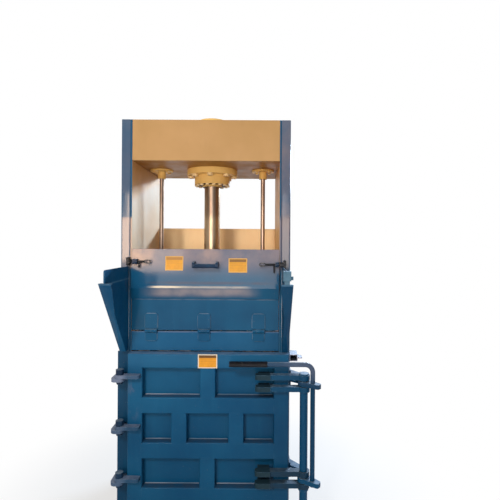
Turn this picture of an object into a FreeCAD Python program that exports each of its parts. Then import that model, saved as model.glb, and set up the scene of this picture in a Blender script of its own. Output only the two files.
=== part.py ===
"""Vertical recycling baler: two side frames, a crosshead with a telescopic ram, a tilting feed door
between hopper cheeks, and a ribbed main door that a swinging lever locks.

Units are millimetres. X runs to the right as seen from the front, the front faces -Y, Z is up.
The origin is on the floor, at the middle of the bale chamber. The ram is drawn fully lowered.
"""
import FreeCAD, Part
import math
import os

V = FreeCAD.Vector

# ---- driving dimensions: body --------------------------------------------------------------
HALF_WIDTH = 526            # outside of the side frames
HALF_DEPTH = 350            # front and back faces of the side frames
TOP = 2523
COLUMN_WIDTH = 60
COLUMN_DEPTH = 100
COLUMN_WALL = 6
COLUMN_CORNER = 9
SIDE_PLATE = 8
FRAME_IN = HALF_WIDTH - COLUMN_WIDTH            # outer face of the side plate
INSIDE = FRAME_IN - SIDE_PLATE                  # half width of the chamber
RIB_WALL = 6
SIDE_RIB_HEIGHT = 80
SIDE_RIB_PITCH = 330
SIDE_RIB_COUNT = 8
RIB_START = 60
FOOT_THICK = 12
FOOT_OUT = 50
ANCHOR_HOLE = 18
ANCHOR_X = HALF_WIDTH + 26
ANCHOR_Y = 300
BED_TOP = 170
BED_THICK = 20
BED_BEAM_WIDTH = 60
BED_BEAM_DROP = 120
BED_BEAM_PITCH = 260
BAR_WIDTH = 80
BAR_HEIGHT = 40
BAR_PITCH = 130
BAR_COUNT = 7
SILL_WALL = 8
BACK_THICK = 8
BACK_TOP = 1873
BACK_RIB_HEIGHT = 100
BACK_RIB_DEPTH = 60
BACK_RIB_COUNT = 6
LINTEL_LOW = 1091
LINTEL_THICK = 12

# ---- crosshead and ram ---------------------------------------------------------------------
CROSSHEAD_LOW = TOP - 254
CROSSHEAD_PLATE = 12
CROSSHEAD_FLOOR = 20
CROSSHEAD_WEB_Y = 185
STIFFENER_X = 230
BARREL_OUT = 200
BARREL_IN = 160
BARREL_TOP = 2590
CAP_THICK = 20
CAP_PLUG = (36, 8)          # width across flats and height of the plug in the cap
FLANGE_OUT = 350
FLANGE_THICK = 40
FLANGE_PCD = 300
FLANGE_BOLT = 24
FLANGE_BOLTS = 8
GLAND_OUT = 245
GLAND_THICK = 64
GLAND_SEAL = 30             # solid foot of the gland, under the piston's seat
PISTON_THICK = 26
GLAND_PCD = 220
GLAND_BOLT = 14
GLAND_BOLTS = 16
SLEEVE_OUT = 108
SLEEVE_BORE = 88
SLEEVE_LOW = 1695
ROD = 78
RUNNING = 0.1               # running clearance on a diameter
GUIDE_X = 357
GUIDE_ROD = 30
BUSH_FLANGE = 158
BUSH_OUT = 54
BUSH_SPIGOT = 60
BUSH_LOW = 2210
BUSH_FLANGE_THICK = 10
BUSH_BOLT_PCD = 120
BUSH_BOLT = 11
PLATEN_TOP = 1265
PLATEN_LOW = 1065
PLATEN_X = 440
PLATEN_Y = 325
PLATEN_PLATE = 20
PLATEN_SKIN = 12
SKIRT_HEIGHT = 70
PAD_HALF = 110
PAD_THICK = 20
PLATEN_RIB = 90             # distance of the tall ribs from the middle
PLATEN_FAR_RIB = 260

# ---- feed door and cheeks ------------------------------------------------------------------
FEED_X = 456
FEED_AXIS_Z = 1215
FEED_AXIS_Y = -361.5
FEED_TOP = 1720
FEED_SHEET = 5
FEED_RETURN = 18
FEED_STEP_Z = 1407
FEED_RIDGE_Z = 1480
FEED_RIDGE_Y = -375
FEED_UPPER_Y = -352
CHEEK_X = 478.5
CHEEK_THICK = 6
CHEEK_TOP = 1613
CHEEK_REACH = 398
FOOT_FLANGE_LOW = 1130      # lower end of the flange that fixes a cheek to the column
RIM_OUT = 513               # outer edge of the flange along the cheek's slope
RIM_THICK = 8
GUSSET_IN = 449             # inner edge of the gusset at the head of that flange
GUSSET_RUN = 150
RIM_FOOT = (45, 1095)       # reach and height of the foot of the cheek's slope
RIM_HEAD_Z = 1541
RIM_SLOPE = 0.774           # forward run of the slope for each millimetre of rise
RIM_CAP = 34                # short level flange at the head of the slope
SWITCH_X = (459, 501)       # safety switch on the head of the right cheek's rim
SWITCH_Y = (-748, -698)
SWITCH_Z = (1560, 1612)
SWITCH_LID = 8
SWITCH_FOOT = 28            # width of the bracket under it
SWITCH_GLAND = (20, 12)     # diameter and length of its cable gland
LATCH_Y = -380
LATCH_ROD = 14
FEED_HINGE_X = (-333, -6, 331)
FEED_PIN = 12
KNUCKLE = 21
UPPER_LEAF = (78, 105)      # width, and reach from the axis
LOWER_LEAF = (72, 62)
LEAF_GAUGE = 8
PULL_BAR = 24               # the feed door's handle
PULL_AT = (-404, 1620)
PULL_POSTS = (-74, 68)
POST_WIDTH = 14
BOLT_NEAR = 368
LOOP_SPAN = (332, 374)
LOOP_HALF = 12
LOOP_WALL = 6
LEG_ROD = 10
BOLT_TIP = 474
LATCHES = {                 # height, reach and length of the finger leg, guide and keeper of each side
    -1: (1643, 404, 38, (414, 441), (458, 478)),
    1: (1628, 425, 50, (432, 454), (460, 498)),
}
KEEPER_HALF = 25
KEEPER_END = 14
KEEPER_REACH = 46

# ---- main door -----------------------------------------------------------------------------
DOOR_LEFT = -460
DOOR_RIGHT = 516
DOOR_LOW = 144
DOOR_SKIN = 12
DOOR_GAP = 1
RAILS = (132, 100, 100, 88)     # heights of the four rails, from the bottom
POCKET = 174                # height of the rows between them
STILE = 90
CENTRE_STILE = 94
CENTRE_X = 25               # middle of the centre stiles
CENTRE_OFFSET = 173
RAIL_DEPTH = 50
DOOR_HINGE = V(-500, -430, 0)
HINGE_LEVELS = (340, 651, 957)
HINGE_PIN = 24
LEAF_THICK = 20
LEAF_EYE = 54
LEAF_END = -378
LEAF_DEPTH = 44
PIN_HEAD = (46, 30)         # diameter and height
BRACKET_OUT = -550
BRACKET_FRONT = -458
STRIP_X = (-537, -465)      # strip on the left column that carries the hinge brackets
STRIP_Z = (130, 1088)
STRIP_THICK = 8
DOOR_BACK = -HALF_DEPTH - DOOR_GAP
SKIN_FRONT = DOOR_BACK - DOOR_SKIN
RAIL_FRONT = SKIN_FRONT - RAIL_DEPTH

# ---- door lock -----------------------------------------------------------------------------
LOCK = V(605, -435, 0)
LOCK_SHAFT = 48
FORK_LEVELS = {"lower": 352, "upper": 925}
FORK_OFFSET = 35
FORK_THICK = 30
FORK_EYE = 36
ARM_DEPTH = 42
ARM_HEAD = (313, 405)       # the thicker head of each fork arm
CLAW_THICK = 26
CLAW_FINGER = (66.5, 81)    # inner and outer radius of the claw's finger
WEB_REACH = 112
KEEPER_RADIUS = 55
KEEPER_ANGLE = 75
KEEPER_PIN = 20
CRANK_ANGLE = -40
CRANK_RADIUS = 62.5
HANDLE_BAR = 28
LEVER_Z = 1045
LEVER_LEFT = 160
LEVER_BEND = 46
GRIP = 34
GRIP_LENGTH = 224
KEEPER_WALL = (-344, -258)  # the lock keeper's wall plate, front and back
SOCKET_X = (HALF_WIDTH, HALF_WIDTH + 50)
SOCKET_Y = (-345, -245)
SOCKET_Z = (1027, 1069)
SOCKET_WALL = 4


# ---- shape helpers -------------------------------------------------------------------------
def box(x, y, z):
    """A block between the low and high value of each axis."""
    return Part.makeBox(x[1] - x[0], y[1] - y[0], z[1] - z[0], V(x[0], y[0], z[0]))


def rod(diameter, start, end):
    """A round bar from start to end."""
    return Part.makeCylinder(diameter / 2, (end - start).Length, start, end - start)


def upright(diameter, x, y, z):
    """A round bar along Z, between the two values of z."""
    return rod(diameter, V(x, y, z[0]), V(x, y, z[1]))


def corner_arc(before, corner, after, radius):
    """Start, middle and end of the arc that rounds one corner."""
    back = (before - corner).normalize()
    ahead = (after - corner).normalize()
    half = back.getAngle(ahead) / 2
    reach = radius / math.tan(half)
    middle = (back + ahead).normalize() * (radius / math.sin(half) - radius)
    return corner + back * reach, corner + middle, corner + ahead * reach


def outline(points):
    """A face inside 3-D points; a point may be a (point, corner radius) pair."""
    pairs = [p if isinstance(p, tuple) else (p, 0) for p in points]
    spans = []
    for i, (corner, radius) in enumerate(pairs):
        if radius:
            after = pairs[(i + 1) % len(pairs)][0]
            spans.append(corner_arc(pairs[i - 1][0], corner, after, radius))
        else:
            spans.append((corner, None, corner))
    edges = []
    for i, (start, middle, end) in enumerate(spans):
        if middle is not None:
            edges.append(Part.Arc(start, middle, end).toShape())
        following = spans[(i + 1) % len(spans)][0]
        if (following - end).Length > 1e-6:
            edges.append(Part.makeLine(end, following))
    return Part.Face(Part.Wire(edges))


def across(points, low, high):
    """Extrude a (y, z[, radius]) outline along X."""
    face = outline([(V(low, p[0], p[1]), p[2] if len(p) > 2 else 0) for p in points])
    return face.extrude(V(high - low, 0, 0))


def along(points, low, high):
    """Extrude an (x, z[, radius]) outline along Y."""
    face = outline([(V(p[0], low, p[1]), p[2] if len(p) > 2 else 0) for p in points])
    return face.extrude(V(0, high - low, 0))


def flat(points, low, high):
    """Extrude an (x, y[, radius]) outline along Z."""
    face = outline([(V(p[0], p[1], low), p[2] if len(p) > 2 else 0) for p in points])
    return face.extrude(V(0, 0, high - low))


def channel_section(width, depth, wall, corner=8):
    """Outline of a channel as (across, depth, corner radius) points, open at depth 0."""
    return [(0, 0), (0, depth, corner), (width, depth, corner), (width, 0),
            (width - wall, 0), (width - wall, depth - wall), (wall, depth - wall), (wall, 0)]


def folded(line, thickness):
    """Closed outline of a folded sheet: the line's points and the same line set in by thickness."""
    inner = []
    for i, point in enumerate(line):
        normals = []
        for a, b in ((i - 1, i), (i, i + 1)):
            if 0 <= a and b < len(line):
                run = (line[b][0] - line[a][0], line[b][1] - line[a][1])
                size = math.hypot(*run)
                normals.append((run[1] / size, -run[0] / size))
        first, last = normals[0], normals[-1]
        scale = thickness / (1 + first[0] * last[0] + first[1] * last[1])
        inner.append((point[0] + (first[0] + last[0]) * scale,
                      point[1] + (first[1] + last[1]) * scale))
    return list(line) + inner[::-1]


def hexagon(across_flats, x, y, z):
    """A hexagonal prism along Z."""
    radius = across_flats / math.sqrt(3)
    corners = [(x + radius * math.cos(math.radians(60 * i)), y + radius * math.sin(math.radians(60 * i)))
               for i in range(6)]
    return flat(corners, z[0], z[1])


def around(count, pcd, x=0, y=0, start=0):
    """Centres spaced evenly on a circle."""
    for i in range(count):
        angle = math.radians(start + 360 * i / count)
        yield x + pcd / 2 * math.cos(angle), y + pcd / 2 * math.sin(angle)


def bolt_head(size, x, y, face):
    """The hexagon head of a bolt, hanging below the face that it clamps."""
    return hexagon(1.5 * size, x, y, (face - 0.65 * size, face))


def group(solids):
    return Part.makeCompound(list(solids))


def welded(first, *others):
    """Pieces welded into one, with no seam lines on shared faces."""
    return first.multiFuse(list(others)).removeSplitter()


# ---- side frames ---------------------------------------------------------------------------
def column(side, end):
    """A square tube with a capped top, on a foot plate with an anchor hole and a drain slot."""
    x_in, x_out = side * FRAME_IN, side * HALF_WIDTH
    y_end, y_mid = end * HALF_DEPTH, end * (HALF_DEPTH - COLUMN_DEPTH)
    r = COLUMN_CORNER
    tube = flat([(x_in, y_end, r), (x_out, y_end, r), (x_out, y_mid, r), (x_in, y_mid, r)], FOOT_THICK, TOP)
    wall = COLUMN_WALL
    hollow = box(sorted((x_in + side * wall, x_out - side * wall)),
                 sorted((y_end - end * wall, y_mid + end * wall)), (FOOT_THICK, TOP - wall))
    foot_y = sorted((y_end + end * 10, y_mid - end * 10))
    foot = flat([(side * INSIDE, foot_y[0]), (side * (HALF_WIDTH + FOOT_OUT), foot_y[0], 12),
                 (side * (HALF_WIDTH + FOOT_OUT), foot_y[1], 12), (side * INSIDE, foot_y[1])], 0, FOOT_THICK)
    anchor = upright(ANCHOR_HOLE, side * ANCHOR_X, end * ANCHOR_Y, (0, FOOT_THICK))
    x_mid = (x_in + x_out) / 2
    drain = box((x_mid - 12, x_mid + 12), (end * ANCHOR_Y - 12, end * ANCHOR_Y + 12), (0, FOOT_THICK))
    return welded(tube.cut(hollow), foot.cut(anchor).cut(drain))


def side_plate(side):
    return box(sorted((side * INSIDE, side * FRAME_IN)), (-HALF_DEPTH, HALF_DEPTH), (FOOT_THICK, TOP))


def side_ribs(side):
    """Channels laid across the outside of a side frame, between its columns."""
    run = HALF_DEPTH - COLUMN_DEPTH
    section = channel_section(SIDE_RIB_HEIGHT, COLUMN_WIDTH, RIB_WALL, corner=0)
    for i in range(SIDE_RIB_COUNT):
        low = RIB_START + i * SIDE_RIB_PITCH
        points = [(side * (FRAME_IN + p[1]), low + p[0]) for p in section]
        yield along(points, -run, run)


def side_frames():
    return {
        "front_columns": group(column(side, -1) for side in (-1, 1)),
        "rear_columns": group(column(side, 1) for side in (-1, 1)),
        "left_side_plate": side_plate(-1),
        "right_side_plate": side_plate(1),
        "left_side_ribs": group(side_ribs(-1)),
        "right_side_ribs": group(side_ribs(1)),
    }


# ---- bed, sill, back and lintel ------------------------------------------------------------
def strap_bars(base, up):
    """Bars from front to back that leave grooves for the strap between them."""
    for i in range(BAR_COUNT):
        x = (i - (BAR_COUNT - 1) / 2) * BAR_PITCH
        half, tip = BAR_WIDTH / 2, base + up * BAR_HEIGHT
        points = [(x - half, base), (x - half, tip - up * 6), (x - half + 6, tip),
                  (x + half - 6, tip), (x + half, tip - up * 6), (x + half, base)]
        yield along(points, -PLATEN_Y, PLATEN_Y)


def bed():
    """Bed plate on three square tubes that run between the side frames."""
    plate = box((-INSIDE, INSIDE), (-HALF_DEPTH + LINTEL_THICK, HALF_DEPTH), (BED_TOP - BED_THICK, BED_TOP))
    beams = []
    for i in (-1, 0, 1):
        y = i * BED_BEAM_PITCH
        half = BED_BEAM_WIDTH / 2
        low, high = BED_TOP - BED_THICK - BED_BEAM_DROP, BED_TOP - BED_THICK
        tube = box((-INSIDE, INSIDE), (y - half, y + half), (low, high))
        bore = box((-INSIDE, INSIDE), (y - half + 5, y + half - 5), (low + 5, high - 5))
        beams.append(tube.cut(bore))
    return welded(plate, *beams)


def sill():
    """A channel that closes the front under the door."""
    low, high = FOOT_THICK, BED_TOP - BED_THICK
    front, lip, w = -HALF_DEPTH, -HALF_DEPTH + 50, SILL_WALL
    points = [(lip, low), (front, low, 8), (front, high, 8), (lip, high),
              (lip, high - w), (front + w, high - w), (front + w, low + w), (lip, low + w)]
    return across(points, -INSIDE, INSIDE)


def back_ribs():
    section = channel_section(BACK_RIB_HEIGHT, BACK_RIB_DEPTH, RIB_WALL, corner=0)
    pitch = (BACK_TOP - BACK_RIB_HEIGHT - RIB_START) / (BACK_RIB_COUNT - 1)
    for i in range(BACK_RIB_COUNT):
        low = RIB_START + i * pitch
        points = [(HALF_DEPTH + BACK_THICK + p[1], low + p[0]) for p in section]
        yield across(points, -HALF_WIDTH, HALF_WIDTH)


def body_panels():
    back = box((-HALF_WIDTH, HALF_WIDTH), (HALF_DEPTH, HALF_DEPTH + BACK_THICK), (30, BACK_TOP))
    lintel = box((-INSIDE, INSIDE), (-HALF_DEPTH, -HALF_DEPTH + LINTEL_THICK), (LINTEL_LOW, FEED_AXIS_Z - 4))
    return {
        "bed": bed(),
        "bed_bars": group(strap_bars(BED_TOP, 1)),
        "front_sill": sill(),
        "back_wall": back,
        "back_ribs": group(back_ribs()),
        "lintel_panel": lintel,
    }


# ---- crosshead -----------------------------------------------------------------------------
def crosshead():
    inner_y = HALF_DEPTH - CROSSHEAD_PLATE
    floor_top = CROSSHEAD_LOW + CROSSHEAD_FLOOR
    roof_low = TOP - CROSSHEAD_PLATE
    wide = (-INSIDE, INSIDE)
    floor = box(wide, (-inner_y, inner_y), (CROSSHEAD_LOW, floor_top))
    roof = box(wide, (-inner_y, inner_y), (roof_low, TOP))
    floor = floor.cut(upright(BARREL_OUT, 0, 0, (CROSSHEAD_LOW, floor_top)))
    roof = roof.cut(upright(BARREL_OUT + 6, 0, 0, (roof_low, TOP)))
    for side in (-1, 1):
        floor = floor.cut(upright(BUSH_SPIGOT, side * GUIDE_X, 0, (CROSSHEAD_LOW, floor_top)))
        roof = roof.cut(upright(GUIDE_ROD + 10, side * GUIDE_X, 0, (roof_low, TOP)))
    for x, y in around(FLANGE_BOLTS, FLANGE_PCD, start=-90):
        floor = floor.cut(upright(FLANGE_BOLT, x, y, (CROSSHEAD_LOW, floor_top)))
    webs = []
    for side in (-1, 1):
        y = side * CROSSHEAD_WEB_Y
        webs.append(box(wide, (y - 6, y + 6), (floor_top, roof_low)))
        for x in (-STIFFENER_X, STIFFENER_X):
            run = sorted((side * (CROSSHEAD_WEB_Y + 6), side * inner_y))
            webs.append(box((x - 6, x + 6), run, (floor_top, roof_low)))
    return {
        "crosshead_front_plate": box(wide, (-HALF_DEPTH, -inner_y), (CROSSHEAD_LOW, TOP)),
        "crosshead_rear_plate": box(wide, (inner_y, HALF_DEPTH), (CROSSHEAD_LOW, TOP)),
        "crosshead_bottom_plate": floor,
        "crosshead_top_plate": roof,
        "crosshead_webs": group(webs),
    }


# ---- cylinder, fixed parts -----------------------------------------------------------------
def cylinder():
    flange_low = CROSSHEAD_LOW - FLANGE_THICK
    gland_low = flange_low - GLAND_THICK
    barrel = upright(BARREL_OUT, 0, 0, (flange_low, BARREL_TOP))
    barrel = barrel.cut(upright(BARREL_IN, 0, 0, (flange_low, BARREL_TOP)))
    flange = upright(FLANGE_OUT, 0, 0, (flange_low, CROSSHEAD_LOW))
    flange = flange.cut(upright(BARREL_OUT, 0, 0, (flange_low, CROSSHEAD_LOW)))
    gland = upright(GLAND_OUT, 0, 0, (gland_low, flange_low))
    gland = gland.fuse(upright(SLEEVE_OUT + 30, 0, 0, (gland_low - 14, gland_low)))
    gland = gland.cut(upright(SLEEVE_OUT + RUNNING, 0, 0, (gland_low - 14, flange_low)))
    gland = gland.cut(upright(BARREL_IN, 0, 0, (gland_low + GLAND_SEAL, flange_low)))
    flange_bolts = []
    for x, y in around(FLANGE_BOLTS, FLANGE_PCD, start=-90):
        flange = flange.cut(upright(FLANGE_BOLT, x, y, (flange_low, CROSSHEAD_LOW)))
        grip = FLANGE_THICK + CROSSHEAD_FLOOR
        shank = upright(FLANGE_BOLT, x, y, (flange_low, flange_low + grip))
        nut = hexagon(1.5 * FLANGE_BOLT, x, y, (flange_low + grip, flange_low + grip + 0.8 * FLANGE_BOLT))
        flange_bolts.append(welded(bolt_head(FLANGE_BOLT, x, y, flange_low), shank, nut))
    ring = around(GLAND_BOLTS, GLAND_PCD, start=180 / GLAND_BOLTS)
    gland_bolts = [bolt_head(GLAND_BOLT, x, y, gland_low) for x, y in ring]
    cap_top = BARREL_TOP + CAP_THICK
    cap = upright(BARREL_OUT, 0, 0, (BARREL_TOP, cap_top))
    plug = hexagon(CAP_PLUG[0], 0, 0, (cap_top, cap_top + CAP_PLUG[1]))
    return {
        "cylinder_barrel": barrel,
        "cylinder_cap": welded(cap, plug),
        "cylinder_flange": flange,
        "flange_bolts": group(flange_bolts),
        "gland": gland,
        "gland_bolts": group(gland_bolts),
    }


def guide_bush(side):
    """Flanged bush that hangs under the crosshead, with a spigot up into its floor."""
    x = side * GUIDE_X
    flange = upright(BUSH_FLANGE, x, 0, (CROSSHEAD_LOW - BUSH_FLANGE_THICK, CROSSHEAD_LOW))
    tube = upright(BUSH_OUT, x, 0, (BUSH_LOW, CROSSHEAD_LOW))
    spigot = upright(BUSH_SPIGOT, x, 0, (CROSSHEAD_LOW, CROSSHEAD_LOW + CROSSHEAD_FLOOR))
    bush = welded(flange, tube, spigot)
    return bush.cut(upright(GUIDE_ROD + RUNNING, x, 0, (BUSH_LOW, CROSSHEAD_LOW + CROSSHEAD_FLOOR)))


def guide_bush_bolts():
    for side in (-1, 1):
        for x, y in around(4, BUSH_BOLT_PCD, side * GUIDE_X, start=45):
            yield bolt_head(BUSH_BOLT, x, y, CROSSHEAD_LOW - BUSH_FLANGE_THICK)


# ---- ram: sleeve, rod, platen and guide rods -----------------------------------------------
def ram_sleeve():
    """First stage: a tube with a piston head at its top and a gland ring at its foot."""
    piston_low = CROSSHEAD_LOW - FLANGE_THICK - GLAND_THICK + GLAND_SEAL + 2
    piston_top = piston_low + PISTON_THICK
    piston = upright(BARREL_IN - RUNNING, 0, 0, (piston_low, piston_top))
    tube = upright(SLEEVE_OUT, 0, 0, (SLEEVE_LOW, piston_top))
    bore = upright(SLEEVE_BORE + RUNNING, 0, 0, (SLEEVE_LOW + 40, piston_low - 6))
    gland = upright(ROD + RUNNING, 0, 0, (SLEEVE_LOW, SLEEVE_LOW + 40))
    return welded(tube, piston).cut(bore).cut(gland)


def ram_rod():
    """Second stage: a rod with a piston head at its top and a flange at its foot."""
    head_low = SLEEVE_LOW + 42
    shank = upright(ROD, 0, 0, (PLATEN_TOP, head_low + 20))
    head = upright(SLEEVE_BORE, 0, 0, (head_low, head_low + 20))
    flange = upright(150, 0, 0, (PLATEN_TOP, PLATEN_TOP + 28))
    return welded(shank, head, flange)


def platen():
    """Platen of plates: a base with a skirt round it, ribs that rise to the middle and a rod pad."""
    base = PLATEN_LOW + BAR_HEIGHT
    low, pad_low = base + PLATEN_PLATE, PLATEN_TOP - PAD_THICK
    skirt = low + SKIRT_HEIGHT
    room_x, room_y = PLATEN_X - PLATEN_SKIN, PLATEN_Y - PLATEN_SKIN
    half, shoulder = PLATEN_SKIN / 2, PAD_HALF + 10
    inner, outer = PLATEN_RIB - half, PLATEN_RIB + half
    yield box((-PLATEN_X, PLATEN_X), (-PLATEN_Y, PLATEN_Y), (base, low))
    yield box((-PAD_HALF, PAD_HALF), (-PAD_HALF, PAD_HALF), (pad_low, PLATEN_TOP))
    for side in (-1, 1):
        yield box((-PLATEN_X, PLATEN_X), sorted((side * room_y, side * PLATEN_Y)), (low, skirt))
        yield box(sorted((side * room_x, side * PLATEN_X)), (-room_y, room_y), (low, skirt))
        yield along([(-room_x, low), (-room_x, skirt), (-shoulder, pad_low), (shoulder, pad_low),
                     (room_x, skirt), (room_x, low)], side * PLATEN_RIB - half, side * PLATEN_RIB + half)
        middle = (side * PLATEN_RIB - half, side * PLATEN_RIB + half)
        far = (side * PLATEN_FAR_RIB - half, side * PLATEN_FAR_RIB + half)
        yield box(middle, (-inner, inner), (low, pad_low))
        yield box(far, (-inner, inner), (low, skirt))
        for end in (-1, 1):
            yield across([(end * outer, low), (end * outer, pad_low), (end * shoulder, pad_low),
                          (end * room_y, skirt), (end * room_y, low)], *middle)
            yield box(far, sorted((end * outer, end * room_y)), (low, skirt))


def wear_pads():
    """Plastic pads bolted to the platen's sides, which run on the side plates."""
    for side in (-1, 1):
        for y in (-190, 190):
            yield box(sorted((side * PLATEN_X, side * (INSIDE - 2))), (y - 70, y + 70), (1110, 1190))


def guide_rod(side):
    base = PLATEN_LOW + BAR_HEIGHT + PLATEN_PLATE
    shank = upright(GUIDE_ROD, side * GUIDE_X, 0, (base, TOP - 13))
    collar = upright(64, side * GUIDE_X, 0, (base, base + 24))
    return welded(shank, collar)


def ram():
    return {
        "guide_bushes": group(guide_bush(side) for side in (-1, 1)),
        "guide_bush_bolts": group(guide_bush_bolts()),
        "ram_sleeve": ram_sleeve(),
        "ram_rod": ram_rod(),
        "platen": group(platen()),
        "platen_bars": group(strap_bars(PLATEN_LOW + BAR_HEIGHT, -1)),
        "platen_wear_pads": group(wear_pads()),
        "guide_rods": group(guide_rod(side) for side in (-1, 1)),
    }


# ---- hopper cheeks -------------------------------------------------------------------------
def cheek(side):
    """Upright cheek plate with an outward flange on the column and a flange along its slope."""
    head_p = RIM_FOOT[0] + (RIM_HEAD_Z - RIM_FOOT[1]) * RIM_SLOPE

    def at(p, z, *radius):
        return (-HALF_DEPTH - p, z, *radius)

    x = sorted((side * (CHEEK_X - CHEEK_THICK / 2), side * (CHEEK_X + CHEEK_THICK / 2)))
    plate = across([at(0, RIM_FOOT[1]), at(*RIM_FOOT), at(head_p, RIM_HEAD_Z),
                    at(CHEEK_REACH, RIM_HEAD_Z + 6), at(CHEEK_REACH, CHEEK_TOP, 14), at(0, CHEEK_TOP)], *x)
    line = folded([at(*RIM_FOOT), at(head_p, RIM_HEAD_Z), at(head_p - RIM_CAP, RIM_HEAD_Z)], RIM_THICK)
    inner, outer = side * (CHEEK_X - CHEEK_THICK / 2), side * (CHEEK_X + CHEEK_THICK / 2)
    rim = across(line, *sorted((inner, side * RIM_OUT)))
    front = -HALF_DEPTH - head_p
    wedge = flat([(inner, front), (side * GUSSET_IN, front), (side * GUSSET_IN, front + RIM_CAP),
                  (inner, front + GUSSET_RUN)], RIM_FOOT[1], CHEEK_TOP)
    gusset = across(line, *sorted((side * GUSSET_IN, inner))).common(wedge)
    foot = box(sorted((outer, side * (HALF_WIDTH - 4))), (-HALF_DEPTH - 6, -HALF_DEPTH),
               (FOOT_FLANGE_LOW, CHEEK_TOP - 20))
    return welded(plate, rim, gusset, foot)


def switch_notch():
    """Room cut from the right cheek's top corner for the safety switch and its bracket."""
    return box((CHEEK_X - CHEEK_THICK, CHEEK_X + CHEEK_THICK), (SWITCH_Y[0] - 1, SWITCH_Y[1]),
               (RIM_HEAD_Z, CHEEK_TOP + 1))


def safety_switch():
    """Switch box on a bracket at the head of the cheek's rim, with a lid and a cable gland."""
    middle, face = sum(SWITCH_X) / 2, SWITCH_Y[0] + SWITCH_LID
    diameter, length = SWITCH_GLAND
    body = box(SWITCH_X, (face, SWITCH_Y[1]), SWITCH_Z)
    lid = box((SWITCH_X[0] + 2, SWITCH_X[1] - 2), (SWITCH_Y[0], face), (SWITCH_Z[0] + 2, SWITCH_Z[1] - 2))
    bracket = box((middle - SWITCH_FOOT / 2, middle + SWITCH_FOOT / 2), (face + 4, SWITCH_Y[1] - 6),
                  (RIM_HEAD_Z, SWITCH_Z[0]))
    side, back, low = SWITCH_X[1], sum(SWITCH_Y) / 2 + 4, SWITCH_Z[0] + 14
    gland = rod(diameter, V(side, back, low), V(side + length, back, low))
    return welded(body, lid, bracket, gland)


# ---- feed door -----------------------------------------------------------------------------
def feed_line():
    """The feed door's front face from its foot to its folded top, as (y, z) points."""
    return [(-HALF_DEPTH, FEED_AXIS_Z + 3), (-HALF_DEPTH, FEED_STEP_Z), (-HALF_DEPTH - 5, FEED_STEP_Z + 5),
            (FEED_RIDGE_Y, FEED_RIDGE_Z), (FEED_UPPER_Y, FEED_TOP), (FEED_UPPER_Y + 14, FEED_TOP)]


def feed_front(z):
    """Y of the upper panel's front face at a height."""
    share = (z - FEED_RIDGE_Z) / (FEED_TOP - FEED_RIDGE_Z)
    return FEED_RIDGE_Y + (FEED_UPPER_Y - FEED_RIDGE_Y) * share


def feed_door_panel():
    """Folded sheet with returns down both sides."""
    line = feed_line()
    sheet = across(folded(line, FEED_SHEET), -FEED_X, FEED_X)
    returns = []
    for side in (-1, 1):
        x = sorted((side * (FEED_X - FEED_SHEET), side * FEED_X))
        returns.append(across(folded(line[:5], FEED_RETURN), *x))
    return welded(sheet, *returns)


def hinge_leaf(x, size, up, knuckles, bore):
    """One leaf of a strap hinge with its knuckles; up is 1 for the leaf on the feed door, -1 below."""
    face = -HALF_DEPTH
    half, near, far = size[0] / 2, FEED_AXIS_Z + up * 13, FEED_AXIS_Z + up * size[1]
    leaf = along([(x - half, near), (x + half, near), (x + half, far, 10), (x - half, far, 10)],
                 face - LEAF_GAUGE, face)
    for low, high in knuckles:
        span = (x + low, x + high)
        neck = box(span, (face - LEAF_GAUGE, face - 1), sorted((FEED_AXIS_Z, near)))
        round_part = rod(KNUCKLE, V(span[0], FEED_AXIS_Y, FEED_AXIS_Z), V(span[1], FEED_AXIS_Y, FEED_AXIS_Z))
        leaf = leaf.fuse(neck).fuse(round_part)
    hole = rod(bore, V(x - half, FEED_AXIS_Y, FEED_AXIS_Z), V(x + half, FEED_AXIS_Y, FEED_AXIS_Z))
    return leaf.cut(hole).removeSplitter()


def feed_hinges():
    upper, lower, pins = [], [], []
    for x in FEED_HINGE_X:
        upper.append(hinge_leaf(x, UPPER_LEAF, 1, [(-15, 15)], FEED_PIN + RUNNING))
        lower.append(hinge_leaf(x, LOWER_LEAF, -1, [(-36, -16), (16, 36)], FEED_PIN))
        pins.append(rod(FEED_PIN, V(x - 38, FEED_AXIS_Y, FEED_AXIS_Z), V(x + 38, FEED_AXIS_Y, FEED_AXIS_Z)))
    return upper, lower, pins


def feed_handle():
    """Round bar on two rounded posts that seat on the sloping panel."""
    bar_y, bar_z = PULL_AT
    low, high, front = bar_z - 14, bar_z + 26, bar_y - 13
    first, last = PULL_POSTS
    bar = rod(PULL_BAR, V(first + POST_WIDTH, bar_y, bar_z), V(last, bar_y, bar_z))
    points = [(feed_front(low), low), (front, low, 12), (front, high - 6, 14), (feed_front(high), high)]
    posts = [across(points, x, x + POST_WIDTH) for x in PULL_POSTS]
    return welded(bar, *posts)


def latch_guide(side):
    """Block on the feed door that the slide bolt runs in."""
    level, _, _, span, _ = LATCHES[side]
    low, high, front = level - 15, level + 15, LATCH_Y - 13
    points = [(feed_front(low), low), (front, low, 8), (front, high, 8), (feed_front(high), high)]
    x = sorted(side * reach for reach in span)
    bore = rod(LATCH_ROD + RUNNING, V(x[0], LATCH_Y, level), V(x[1], LATCH_Y, level))
    return across(points, *x).cut(bore)


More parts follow.
